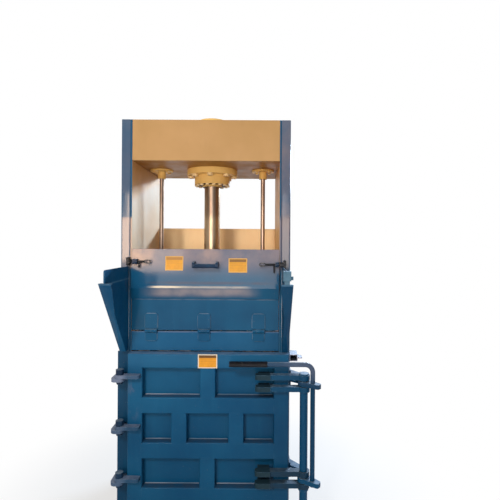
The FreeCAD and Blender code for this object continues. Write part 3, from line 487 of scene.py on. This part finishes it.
def steel(name, deep, pale, metallic, low, high, rust=0.0, grain=120.0):
    """Bare or blackened steel: grain, stains, bright rubbed corners, rust where asked."""
    rusted, polished = rgb(116, 70, 42), rgb(186, 184, 178)
    made, tree, shader = material(name)
    clouds = remap(tree, noise(tree, 18.0, 5.0, 0.6), 0.3, 0.7)
    color = mix(tree, clouds, deep, pale)
    if rust:
        spots = remap(tree, noise(tree, 22.0, 6.0, 0.7), 0.5, 0.68, 0.0, rust)
        color = mix(tree, spots, color, rusted)
    bright = times(tree, edges(tree, 0.0025), remap(tree, noise(tree, 50.0, 3.0), 0.35, 0.6))
    color = mix(tree, times(tree, bright, 0.7), color, polished)
    rough = remap(tree, noise(tree, 40.0, 4.0, 0.6), 0.3, 0.7, low, high)
    finish(tree, shader, color, rough, noise(tree, grain, 4.0, 0.6), 0.00025, Metallic=metallic)
    return made


def moulded(name, deep, pale, low, high, rings=None, specular=0.4):
    """Moulded plastic or rubber with a fine grain, and grip rings along X where asked."""
    scuffed = rgb(150, 150, 146)
    made, tree, shader = material(name)
    color = mix(tree, remap(tree, noise(tree, 12.0, 5.0, 0.6), 0.3, 0.7), deep, pale)
    scuffs = remap(tree, noise(tree, 45.0, 5.0, 0.65, (1.0, 1.0, 0.3)), 0.58, 0.72)
    color = mix(tree, times(tree, scuffs, 0.35), color, scuffed)
    rough = remap(tree, noise(tree, 30.0, 4.0), 0.3, 0.7, low, high)
    height = noise(tree, 420.0, 2.0)
    depth = 0.0002
    if rings:
        wave = node(tree, "TexWave", {"wave_type": "BANDS", "bands_direction": "X"},
                    Vector=place(tree), Scale=rings).outputs[1]
        height = unclamped(tree, "MULTIPLY_ADD", wave, 3.0, height)
        depth = 0.0006
    finish(tree, shader, color, rough, height, depth, Specular_IOR_Level=specular)
    return made


LABEL_ROWS = 5.6                    # spaces between rules in a label's full height


def printed(name, width, height, field, header, border):
    """A plain label: a border, a header field and faint rules across it, with no marks."""
    made, tree, shader = material(name)
    up = axis(tree, "Z")
    inside_x = remap(tree, unclamped(tree, "ABSOLUTE", axis(tree, "X")),
                     width * 0.445, width * 0.452, 1.0, 0.0)
    inside_z = remap(tree, unclamped(tree, "ABSOLUTE", up), height * 0.43, height * 0.44, 1.0, 0.0)
    inside = times(tree, inside_x, inside_z)
    worn = mix(tree, remap(tree, noise(tree, 24.0, 5.0, 0.6), 0.35, 0.7), field,
               tuple(min(1.0, v * 1.18) for v in field[:3]) + (1.0,))
    color = mix(tree, inside, border, worn)
    head = times(tree, inside, remap(tree, up, height * 0.235, height * 0.245))
    color = mix(tree, times(tree, head, 0.85), color, header)
    rows = unclamped(tree, "FRACT", unclamped(tree, "MULTIPLY", up, LABEL_ROWS / height))
    below_head = remap(tree, up, height * 0.2, height * 0.21, 1.0, 0.0)
    rules = times(tree, remap(tree, rows, 0.88, 0.93), below_head, inside)
    color = mix(tree, times(tree, rules, 0.25), color, header)
    rough = remap(tree, noise(tree, 60.0, 3.0), 0.3, 0.7, 0.35, 0.5)
    finish(tree, shader, color, rough, noise(tree, 300.0, 2.0), 0.0001, Specular_IOR_Level=0.4,
           Coat_Weight=0.1, Coat_Roughness=0.2)
    return made


OUTSIDE_BLUE = rgb(12, 78, 118)
ROD_DARK_REFLECTION_FROM = 1.95                # Z above which the ram's chrome is painted darker, as a dimmer reflection


def make_materials():
    """Every kind of surface, by the short name that MATERIAL_OF and the pieces use."""
    feed = enamel("blue_enamel_feed", rgb(6, 70, 108), rgb(14, 84, 122), 0.3,
                  rgb(153, 134, 134), feed_reflection, right_shade=0.1)
    # Painted light on the feed door: reflected patches, a sheen and highlights along its folds, and
    # a painted shade line above the fold.
    for mask, color in ((warm_reflection_patches, rgb(188, 158, 142)), (ridge_sheen, rgb(156, 146, 148)),
                        (fold_shade, rgb(52, 70, 98)), (ridge_highlight, rgb(222, 210, 188)),
                        (lower_fold_highlight, rgb(116, 134, 154))):
        overpaint(feed, mask, color)
    # On the main door the upward faces are darkened as painted shade, and its top face has a
    # painted highlight.
    door = enamel("blue_enamel_door", rgb(8, 72, 112), rgb(18, 86, 126), top_dust_and_shading=rgb(54, 62, 74),
                  wear=0.12)
    overpaint(door, stile_scuffs, rgb(104, 106, 126))
    overpaint(door, door_top_highlight, rgb(104, 124, 150))
    overpaint(door, door_head, rgb(44, 104, 144))
    # The fork arms' rubbed corners are strong, partly a painted highlight on their outlines.
    forks = enamel("blue_enamel_forks", rgb(8, 70, 108), rgb(18, 82, 120), wear=0.8)
    overpaint(forks, dark_arm_patches, rgb(26, 40, 50))
    overpaint(forks, fork_heads, rgb(28, 50, 60))
    # The hinges' upward faces are paler, partly dusty and partly painted light, with a pale painted
    # sheen over the plates.
    hinges = enamel("blue_enamel_hinges", rgb(10, 58, 90), rgb(22, 72, 106), wear=0.8,
                    top_dust_and_shading=rgb(120, 130, 150))
    overpaint(hinges, hinge_dust_and_sheen, rgb(118, 130, 156))
    bar = enamel("blue_enamel_bar", rgb(4, 52, 82), rgb(12, 66, 100))
    overpaint(bar, bar_head, rgb(104, 112, 134))
    side = cream("cream_side_plates", rgb(208, 156, 98), rgb(224, 178, 120), rgb(160, 130, 96))
    # The side plates: a painted lit patch on the left inner face, and painted reflections over the
    # front edges beside the columns.
    for mask, color in ((sunlit_patch, rgb(224, 218, 202)), (outside_plate, OUTSIDE_BLUE),
                        (front_edge, rgb(36, 84, 118)), (left_edge_reflection, rgb(212, 180, 156)),
                        (right_edge_reflection, rgb(140, 132, 138))):
        overpaint(side, mask, color)
    # The back wall's cream is set brighter than the crosshead's, as painted light.
    inner = cream("cream_inner_lit", rgb(250, 210, 158), rgb(255, 226, 180), rgb(208, 170, 126))
    overpaint(inner, outside_wall, OUTSIDE_BLUE)
    # Painted reflections on the columns: a grey sheen above the hopper, a pale warm patch on the
    # left column and a warm grey one on the right.
    tall = enamel("blue_enamel_columns", rgb(20, 76, 112), rgb(28, 88, 124), 0.8,
                  rgb(130, 116, 118), column_reflection, right_shade=0.0)
    overpaint(tall, left_reflection, rgb(206, 172, 146))
    overpaint(tall, right_reflection, rgb(108, 76, 64))
    # The cheeks: darker to the right as painted shade, with a painted highlight along their heads.
    cheek = enamel("blue_enamel_cheeks", rgb(8, 70, 110), rgb(18, 86, 126), right_shade=0.55)
    overpaint(cheek, cheek_head_highlight, rgb(74, 112, 142))
    galvanised = steel("galvanised_steel", rgb(112, 120, 142), rgb(146, 152, 174), 0.3, 0.35, 0.55)
    # Painted light and shade on the socket: front faces lighter as a painted highlight, upward
    # faces darker as painted shade inside the hole.
    overpaint(galvanised, facing_front, rgb(196, 200, 218))
    overpaint(galvanised, facing_up, rgb(84, 90, 108))
    return {
        "body": enamel("blue_enamel", rgb(8, 72, 112), rgb(18, 88, 128)),
        "tall": tall,
        "cheek": cheek,
        "door": door,
        "feed": feed,
        "forks": forks,
        "hinges": hinges,
        "bar": bar,
        # Pale weld paint, partly a painted highlight along the back edges of the pockets' floors,
        # darker to the right as painted shade.
        "weld": enamel("painted_weld_highlight", rgb(60, 92, 120), rgb(146, 154, 172), right_shade=0.5),
        # Pale weld paint round the strap hinges, partly a painted highlight on their outlines.
        "strap_weld": enamel("painted_strap_weld_highlight", rgb(60, 98, 132), rgb(124, 146, 168), 0.3),
        # The lintel's upper corner carries a painted highlight.
        "lintel": overpaint(enamel("blue_enamel_lintel", rgb(18, 82, 124), rgb(30, 94, 136)),
                            lintel_edge_highlight, rgb(90, 108, 138)),
        "galvanised": galvanised,
        "inner": inner,
        "side": side,
        # The cream is one paint at three levels: the crosshead darker as painted shade, the back
        # wall brighter as painted light, the underside darker still as painted shade.
        "crosshead": cream("cream_crosshead_shaded", rgb(168, 134, 88), rgb(182, 146, 102),
                           rgb(154, 122, 88)),
        "under": cream("cream_underside_shaded", rgb(160, 106, 40), rgb(174, 120, 54), rgb(134, 92, 48)),
        "ochre": cream("cream_ochre", rgb(228, 184, 102), rgb(240, 203, 127), rgb(182, 136, 70)),
        # The gland's downward faces are darkened as painted shade under it.
        "gland": overpaint(cream("cream_gland", rgb(222, 178, 98), rgb(236, 198, 124),
                                 rgb(176, 130, 66)), facing_down, rgb(98, 64, 28)),
        "pale": cream("cream_bolts", rgb(236, 206, 150), rgb(248, 222, 172), rgb(190, 150, 90)),
        "navy": enamel("dark_blue_enamel", rgb(16, 34, 58), rgb(28, 52, 80)),
        "chrome": chrome("hard_chrome", rgb(220, 204, 176), rgb(178, 158, 138), ROD_DARK_REFLECTION_FROM),
        "guide": chrome("oiled_chrome", rgb(190, 172, 158), rgb(128, 112, 102)),
        "dark": steel("blackened_steel", rgb(34, 38, 44), rgb(58, 62, 68), 0.75, 0.32, 0.5),
        "worn": steel("worn_steel", rgb(96, 88, 82), rgb(140, 134, 126), 0.85, 0.35, 0.6,
                      rust=0.7, grain=60.0),
        "pad": moulded("wear_plastic", rgb(206, 202, 190), rgb(226, 222, 210), 0.4, 0.6),
        "rubber": moulded("grip_rubber", rgb(18, 18, 24), rgb(32, 32, 40), 0.32, 0.5,
                          rings=130.0, specular=0.6),
        "switch": moulded("switch_plastic", rgb(46, 90, 114), rgb(72, 114, 140), 0.35, 0.5),
    }


MATERIAL_OF = {
    "tall": ["front_columns"],
    "cheek": ["left_cheek", "right_cheek"],
    "feed": ["feed_door_panel", "feed_hinge_upper_leaves"],
    "ochre": ["cylinder_barrel", "cylinder_cap", "cylinder_flange", "guide_bushes",
              "guide_bush_bolts"],
    "gland": ["gland"],
    "pale": ["flange_bolts", "gland_bolts"],
    "lintel": ["lintel_panel"],
    "side": ["left_side_plate", "right_side_plate"],
    "inner": ["back_wall"],
    "crosshead": ["crosshead_front_plate", "crosshead_rear_plate"],
    "under": ["crosshead_bottom_plate"],
    "door": ["door_skin", "door_left_stile", "door_right_stile", "door_rails",
             "door_centre_stiles"],
    "forks": ["upper_fork_arms", "lower_fork_arms"],
    "hinges": ["door_hinge_leaves", "door_hinge_brackets"],
    "bar": ["handle_bar", "upper_lock_claw"],
    "galvanised": ["handle_socket"],
    "chrome": ["ram_sleeve", "ram_rod"],
    "guide": ["guide_rods"],
    "navy": ["feed_door_handle", "latch_guides", "door_hinge_pins"],
    "dark": ["left_latch_bolt", "right_latch_bolt", "latch_keepers"],
    "worn": ["bed_bars", "platen_bars"],
    "pad": ["platen_wear_pads"],
    "rubber": ["handle_grip"],
    "switch": ["safety_switch"],
}


def dress_nodes(kinds):
    """Gives every node its material; painted plate not named above gets the body's blue."""
    chosen = {name: kind for kind, names in MATERIAL_OF.items() for name in names}
    for name, item in NODES.items():
        kind = kinds[chosen.get(name, "body")]
        item.data.materials.clear()
        item.data.materials.append(kind)


# ---------------------------------------------------------------- softened plate edges

SOFT_EDGE = {
    # (width, smallest angle in degrees): nodes
    (0.002, 35): ["front_columns", "rear_columns"],
    (0.007, 12): ["feed_door_panel"],
    (0.003, 35): ["crosshead_front_plate", "crosshead_rear_plate", "lintel_panel", "left_side_ribs",
                  "right_side_ribs", "front_sill", "back_ribs"],
    (0.0015, 35): ["door_hinge_brackets", "door_hinge_leaves", "upper_fork_arms", "lower_fork_arms",
                   "feed_hinge_upper_leaves", "feed_hinge_lower_leaves", "upper_lock_claw",
                   "lower_lock_claw", "safety_switch", "handle_socket", "latch_keepers",
                   "lock_keepers", "bed_bars", "platen_bars", "platen", "left_cheek",
                   "right_cheek"],
}
MERGE = 0.00002                     # joins the mesh's split corners before the bevel


def soften_edges():
    """Rounds the plates' edges with modifiers, so that they catch the light."""
    for (width, degrees), names in SOFT_EDGE.items():
        for name in names:
            item = NODES[name]
            weld = item.modifiers.new("weld", "WELD")
            weld.merge_threshold = MERGE
            soft = item.modifiers.new("soft_edge", "BEVEL")
            soft.width = width
            soft.segments = 3
            soft.limit_method = "ANGLE"
            soft.angle_limit = math.radians(degrees)


# ---------------------------------------------------------------- pieces

def add_piece(name, mesh, kind, body):
    """A piece of the scene's own: what it looks like, the material it takes its finish from, and
    the body it rides on."""
    item = bpy.data.objects.new(name, mesh)
    bpy.context.collection.objects.link(item)
    item.data.materials.append(kind)
    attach(item, body)
    return item


def mesh_data(name, mesh):
    """Named mesh data from a bmesh, with its normals facing out."""
    bmesh.ops.recalc_face_normals(mesh, faces=mesh.faces)
    data = bpy.data.meshes.new(name)
    mesh.to_mesh(data)
    mesh.free()
    return data


def wall(mesh, near, far):
    """Quads between two rings with as many corners."""
    for k in range(len(near)):
        n = (k + 1) % len(near)
        mesh.faces.new((near[k], far[k], far[n], near[n]))


def plate_mesh(name, width, height, thick, radius):
    """A thin plate facing -Y with rounded corners, centred on its own origin."""
    mesh = bmesh.new()
    ring = []
    steps = 4
    for cx, cz, start in ((1, 1, 0), (-1, 1, 90), (-1, -1, 180), (1, -1, 270)):
        for step in range(steps + 1):
            a = math.radians(start + step * 90 / steps)
            ring.append((cx * (width / 2 - radius) + radius * math.cos(a),
                         cz * (height / 2 - radius) + radius * math.sin(a)))
    front = [mesh.verts.new((x, -thick, z)) for x, z in ring]
    back = [mesh.verts.new((x, 0, z)) for x, z in ring]
    mesh.faces.new(front)
    mesh.faces.new(list(reversed(back)))
    wall(mesh, front, back)
    return mesh_data(name, mesh)


LABEL_THICK, LABEL_CORNER = 0.0008, 0.003
LABELS = [
    # name, body, centre x, y, z, width, height, tilt in degrees, field, header, border
    ("label_left", "feed_door", -0.1915, -0.3606, 1.632, 0.111, 0.088, -5.5,
     rgb(202, 140, 14), rgb(152, 106, 44), rgb(204, 156, 72)),
    ("label_right", "feed_door", 0.2015, -0.3616, 1.621, 0.115, 0.088, -5.5,
     rgb(200, 140, 18), rgb(98, 68, 26), rgb(208, 160, 76)),
    ("label_centre", "main_door", 0.0245, -0.4136, 1.0435, 0.117, 0.084, 0.0,
     rgb(206, 140, 26), rgb(44, 26, 14), rgb(216, 206, 188)),
]


def make_labels():
    for name, body, x, y, z, width, height, tilt, field, header, border in LABELS:
        mesh = plate_mesh(name, width, height, LABEL_THICK, LABEL_CORNER)
        item = add_piece(name, mesh, printed(name + "_film", width, height, field, header, border),
                         body)
        turn = Matrix.Rotation(math.radians(tilt), 4, "X")
        item.matrix_world = Matrix.Translation((x, y, z)) @ turn


BEAD_SIDES = 8
BEAD_STEP = 0.005                   # distance between a bead's rings
BEAD_END = 0.6                      # size of its end rings against its radius
RIPPLE, RIPPLE_TURN = 0.13, 2.4     # how deep the ripples are, and radians from ring to ring


def bead_mesh(name, paths, radius):
    """Weld beads: rippled tubes along straight runs, with closed ends."""
    mesh = bmesh.new()
    for start, end in paths:
        start, end = Vector(start), Vector(end)
        way = (end - start).normalized()
        side = way.orthogonal().normalized()
        other = way.cross(side)
        count = max(2, round((end - start).length / BEAD_STEP))
        rings = []
        for k in range(count + 1):
            middle = start.lerp(end, k / count)
            ripple = 1.0 + RIPPLE * math.sin(k * RIPPLE_TURN)
            size = radius * (BEAD_END if k in (0, count) else ripple)
            rings.append([mesh.verts.new(middle + size * (math.cos(a) * side + math.sin(a) * other))
                          for a in (math.tau * j / BEAD_SIDES for j in range(BEAD_SIDES))])
        for low, high in zip(rings, rings[1:]):
            for j in range(BEAD_SIDES):
                n = (j + 1) % BEAD_SIDES
                mesh.faces.new((low[j], low[n], high[n], high[j]))
        mesh.faces.new(list(reversed(rings[0])))
        mesh.faces.new(rings[-1])
    for face in mesh.faces:
        face.smooth = True
    return mesh_data(name, mesh)


RIM = 0.0004                        # chamfer of a strip's rim


def strip_mesh(name, boxes):
    """Thin closed strips with chamfered rims, facing -Y; each box is x0, x1, y0, y1, z0, z1."""
    mesh = bmesh.new()
    for x0, x1, y0, y1, z0, z1 in boxes:
        front = [mesh.verts.new(v) for v in ((x0 + RIM, y0, z0 + RIM), (x1 - RIM, y0, z0 + RIM),
                                             (x1 - RIM, y0, z1 - RIM), (x0 + RIM, y0, z1 - RIM))]
        middle = [mesh.verts.new(v) for v in ((x0, y0 + RIM, z0), (x1, y0 + RIM, z0),
                                              (x1, y0 + RIM, z1), (x0, y0 + RIM, z1))]
        back = [mesh.verts.new((v.co.x, y1, v.co.z)) for v in middle]
        mesh.faces.new(front)
        mesh.faces.new(list(reversed(back)))
        wall(mesh, front, middle)
        wall(mesh, middle, back)
    return mesh_data(name, mesh)


def add_strips(name, boxes, kind, body):
    add_piece(name, strip_mesh(name, boxes), kind, body)


def add_beads(name, paths, radius, kind, body):
    add_piece(name, bead_mesh(name, paths, radius), kind, body)


DOOR_FRONT = -0.413                 # Y of the stiles' and rails' faces
SKIN_FRONT = -0.363                 # Y of the pockets' floors
CORNER = 0.0085                     # rounding of the door's channels
FIELD_LEFT, FIELD_RIGHT = -0.370, 0.426     # X of the pocket field, between the edge stiles
ROW_HEIGHT = 0.174
DOOR_ROWS = [
    # Z of the row's floor, pockets across
    (0.276, ((FIELD_LEFT, -0.022), (0.072, FIELD_RIGHT))),
    (0.550, ((FIELD_LEFT, -0.195), (-0.101, 0.151), (0.245, FIELD_RIGHT))),
    (0.824, ((FIELD_LEFT, -0.022), (0.072, FIELD_RIGHT))),
]
DOOR_RAILS = ((0.144, 0.276), (0.450, 0.550), (0.724, 0.824), (0.998, 1.086))
STILE_CAPS_X = ((-0.4575, -0.3725), (0.4285, 0.5135))
STILE_CAPS_Y = (DOOR_FRONT + 0.002, SKIN_FRONT - 0.001)
STILE_CAPS_Z = (1.0825, 1.0855)

WELD_INSET = 0.006                  # a weld or bead ends this far short of the corner
WELD_LAP = 0.0005                   # a flush weld laps this far over the edges it joins
WELD_Y = (DOOR_FRONT - 0.0002, DOOR_FRONT + 0.008)
BEAD_Y = SKIN_FRONT - 0.001
BEAD_LIFT = 0.002                   # a floor bead's middle above the row's floor
FLOOR_BEAD, STRAP_BEAD = 0.0036, 0.003      # radii

SOCKET_SHADE = (0.5296, 0.5724, -0.2470, -0.2452, 1.0306, 1.0654)    # a box for strip_mesh


def make_socket_shade(kinds):
    """A thin dark plate across the rear of the square socket, as painted shade that darkens the
    hole.
    """
    add_strips("socket_shade_plate", [SOCKET_SHADE], kinds["navy"], "root")


def make_door_welds(kinds):
    """Caps on the stiles, beads along the pockets' floors, and the flush welds where rails,
    stiles and posts meet."""
    beads, flush = [], []
    for floor, pockets in DOOR_ROWS:
        for left, right in pockets:
            z = floor + BEAD_LIFT
            beads.append(((left + WELD_INSET, BEAD_Y, z), (right - WELD_INSET, BEAD_Y, z)))
        for (_, left), (right, _) in zip(pockets, pockets[1:]):
            for z in (floor - CORNER, floor + ROW_HEIGHT):
                flush.append((left + WELD_INSET, right - WELD_INSET, *WELD_Y,
                              z - WELD_LAP, z + CORNER + WELD_LAP))
    for low, high in DOOR_RAILS:
        for x in (FIELD_LEFT - CORNER, FIELD_RIGHT):
            flush.append((x - WELD_LAP, x + CORNER + WELD_LAP, *WELD_Y,
                          low + WELD_INSET, high - WELD_INSET))
    caps = [(*x, *STILE_CAPS_Y, *STILE_CAPS_Z) for x in STILE_CAPS_X]
    add_strips("door_stile_caps", caps, kinds["door"], "main_door")
    add_beads("door_floor_beads", beads, FLOOR_BEAD, kinds["weld"], "main_door")
    add_strips("door_flush_welds", flush, kinds["door"], "main_door")


STRAP_X = (-0.333, -0.006, 0.331)   # middles of the three strap hinges
STRAP_Y = -0.3515                   # the middle of their beads
# half width between a leaf's upright beads, their ends in Z, the cross bead's half length and Z
UPPER_LEAF = (0.039, (1.232, 1.310), 0.029, 1.320)
LOWER_LEAF = (0.036, (1.163, 1.198), 0.026, 1.153)


def leaf_runs(x, leaf):
    """The beads on both sides of a hinge leaf and across its end."""
    out, (foot, head), across, end = leaf
    runs = [((x + side * out, STRAP_Y, foot), (x + side * out, STRAP_Y, head)) for side in (-1, 1)]
    return runs + [((x - across, STRAP_Y, end), (x + across, STRAP_Y, end))]


def make_strap_welds(kinds):
    """Beads round the strap hinges' leaves."""
    for name, leaf, body in (("strap_beads_upper", UPPER_LEAF, "feed_door"),
                             ("strap_beads_lower", LOWER_LEAF, "root")):
        runs = [run for x in STRAP_X for run in leaf_runs(x, leaf)]
        add_beads(name, runs, STRAP_BEAD, kinds["strap_weld"], body)


# ---------------------------------------------------------------- stage and light

WHITE = (1.0, 1.0, 1.0, 1.0)
FLOOR_GAP = 0.0005                  # the floor lies this far below the part
FLOOR_SIZE = 30.0


def make_floor():
    """A pale floor that takes the part's shadow and goes over into plain white away from it."""
    mesh = bmesh.new()
    bmesh.ops.create_grid(mesh, x_segments=1, y_segments=1, size=FLOOR_SIZE)
    data = bpy.data.meshes.new("floor")
    mesh.to_mesh(data)
    mesh.free()
    floor = bpy.data.objects.new("floor", data)
    floor.location.z = CAD_BOX[0][2] - FLOOR_GAP
    bpy.context.collection.objects.link(floor)
    made, tree, shader = material("floor_pale")
    shader.inputs["Base Color"].default_value = (0.62, 0.61, 0.60, 1)
    shader.inputs["Roughness"].default_value = 0.9
    shader.inputs["Specular IOR Level"].default_value = 0.1
    out = tree.nodes["Material Output"]
    white = node(tree, "Emission", Color=WHITE, Strength=1.0).outputs[0]
    path = node(tree, "LightPath").outputs
    seen = calc(tree, "ADD", path["Is Camera Ray"],
                calc(tree, "ADD", path["Is Glossy Ray"], path["Is Transmission Ray"]))
    far = node(tree, "VectorMath", {"operation": "LENGTH"}, i0=place(tree)).outputs["Value"]
    around = times(tree, path["Is Camera Ray"], remap(tree, far, 0.8, 1.8, 0.6, 1.0))
    distant = times(tree, seen, remap(tree, far, 2.2, 5.0))
    white_out = calc(tree, "MAXIMUM", distant, around)
    blend = node(tree, "MixShader", i0=white_out, i1=shader.outputs[0], i2=white).outputs[0]
    tree.links.new(blend, out.inputs["Surface"])
    data.materials.append(made)


def make_world():
    """White behind the part for camera, gloss and glass; a dimmer room in front of it."""
    world = bpy.data.worlds.new("studio")
    bpy.context.scene.world = world
    world.use_nodes = True
    tree = world.node_tree
    out = tree.nodes["World Output"]
    room_light = tree.nodes["Background"]
    direction = node(tree, "TexCoord").outputs["Generated"]
    parts = node(tree, "SeparateXYZ", Vector=direction).outputs
    height = remap(tree, parts[2], -0.1, 0.9, 0.24, 0.5)
    room_light.inputs["Color"].default_value = (1.0, 0.985, 0.96, 1)
    white = node(tree, "Background", Color=WHITE, Strength=1.0).outputs[0]
    path = node(tree, "LightPath").outputs
    shiny = calc(tree, "ADD", path["Is Glossy Ray"], path["Is Transmission Ray"])
    room = remap(tree, shiny, 0.0, 1.0, height, 0.10)
    tree.links.new(room, room_light.inputs["Strength"])
    behind = remap(tree, parts[1], -0.15, 0.35)
    seen = calc(tree, "ADD", path["Is Camera Ray"], times(tree, shiny, behind))
    blend = node(tree, "MixShader", i0=seen, i1=room_light.outputs[0], i2=white).outputs[0]
    tree.links.new(blend, out.inputs["Surface"])


LIGHTS = [
    # name, place, aim, width, height, watts, colour; the last four are the doorway and windows
    # that the paint reflects
    ("key", (-1.45, -5.6, 4.9), (0.0, 0.0, 1.4), 0.9, 0.9, 180, (1.0, 0.96, 0.90)),
    ("top", (0.3, -1.6, 5.0), (0.0, -0.3, 1.0), 1.8, 1.2, 18, (1.0, 0.98, 0.96)),
    ("rear", (2.4, 3.6, 3.24), (2.4, 0.0, 2.0), 2.6, 0.45, 440, (0.60, 0.78, 1.0)),
    ("doorway", (-0.3, -6.0, 1.78), (-0.3, 0.0, 1.78), 2.8, 0.98, 62, (1.0, 0.88, 0.78)),
    ("window_left", (-2.36, -6.0, 1.83), (-2.36, 0.0, 1.83), 0.8, 0.88, 37, (1.0, 0.68, 0.46)),
    ("window_high", (-1.75, -6.0, 2.50), (-1.75, 0.0, 2.50), 1.1, 0.5, 34, (1.0, 0.74, 0.54)),
    ("window_right", (-0.15, -6.0, 2.50), (-0.15, 0.0, 2.50), 2.1, 0.5, 15, (1.0, 0.88, 0.82)),
]
SOFT_ONLY = ("key", "top")          # lamps that leave no highlight of their own


def make_lights():
    for name, stand, aim, width, height, watts, color in LIGHTS:
        data = bpy.data.lights.new(name, "AREA")
        data.shape = "RECTANGLE"
        data.size, data.size_y = width, height
        data.energy = watts
        data.color = color
        lamp = bpy.data.objects.new(name, data)
        bpy.context.collection.objects.link(lamp)
        turn = (Vector(aim) - Vector(stand)).to_track_quat("-Z", "Y").to_matrix().to_4x4()
        lamp.matrix_world = Matrix.Translation(stand) @ turn
        lamp.visible_camera = False
        lamp.visible_glossy = name not in SOFT_ONLY


# ---------------------------------------------------------------- build

make_camera()
make_world()
make_lights()
make_floor()
kinds = make_materials()
dress_nodes(kinds)
soften_edges()
make_labels()
make_socket_shade(kinds)
make_door_welds(kinds)
make_strap_welds(kinds)

bpy.context.scene.view_settings.view_transform = "Standard"
bpy.context.view_layer.update()
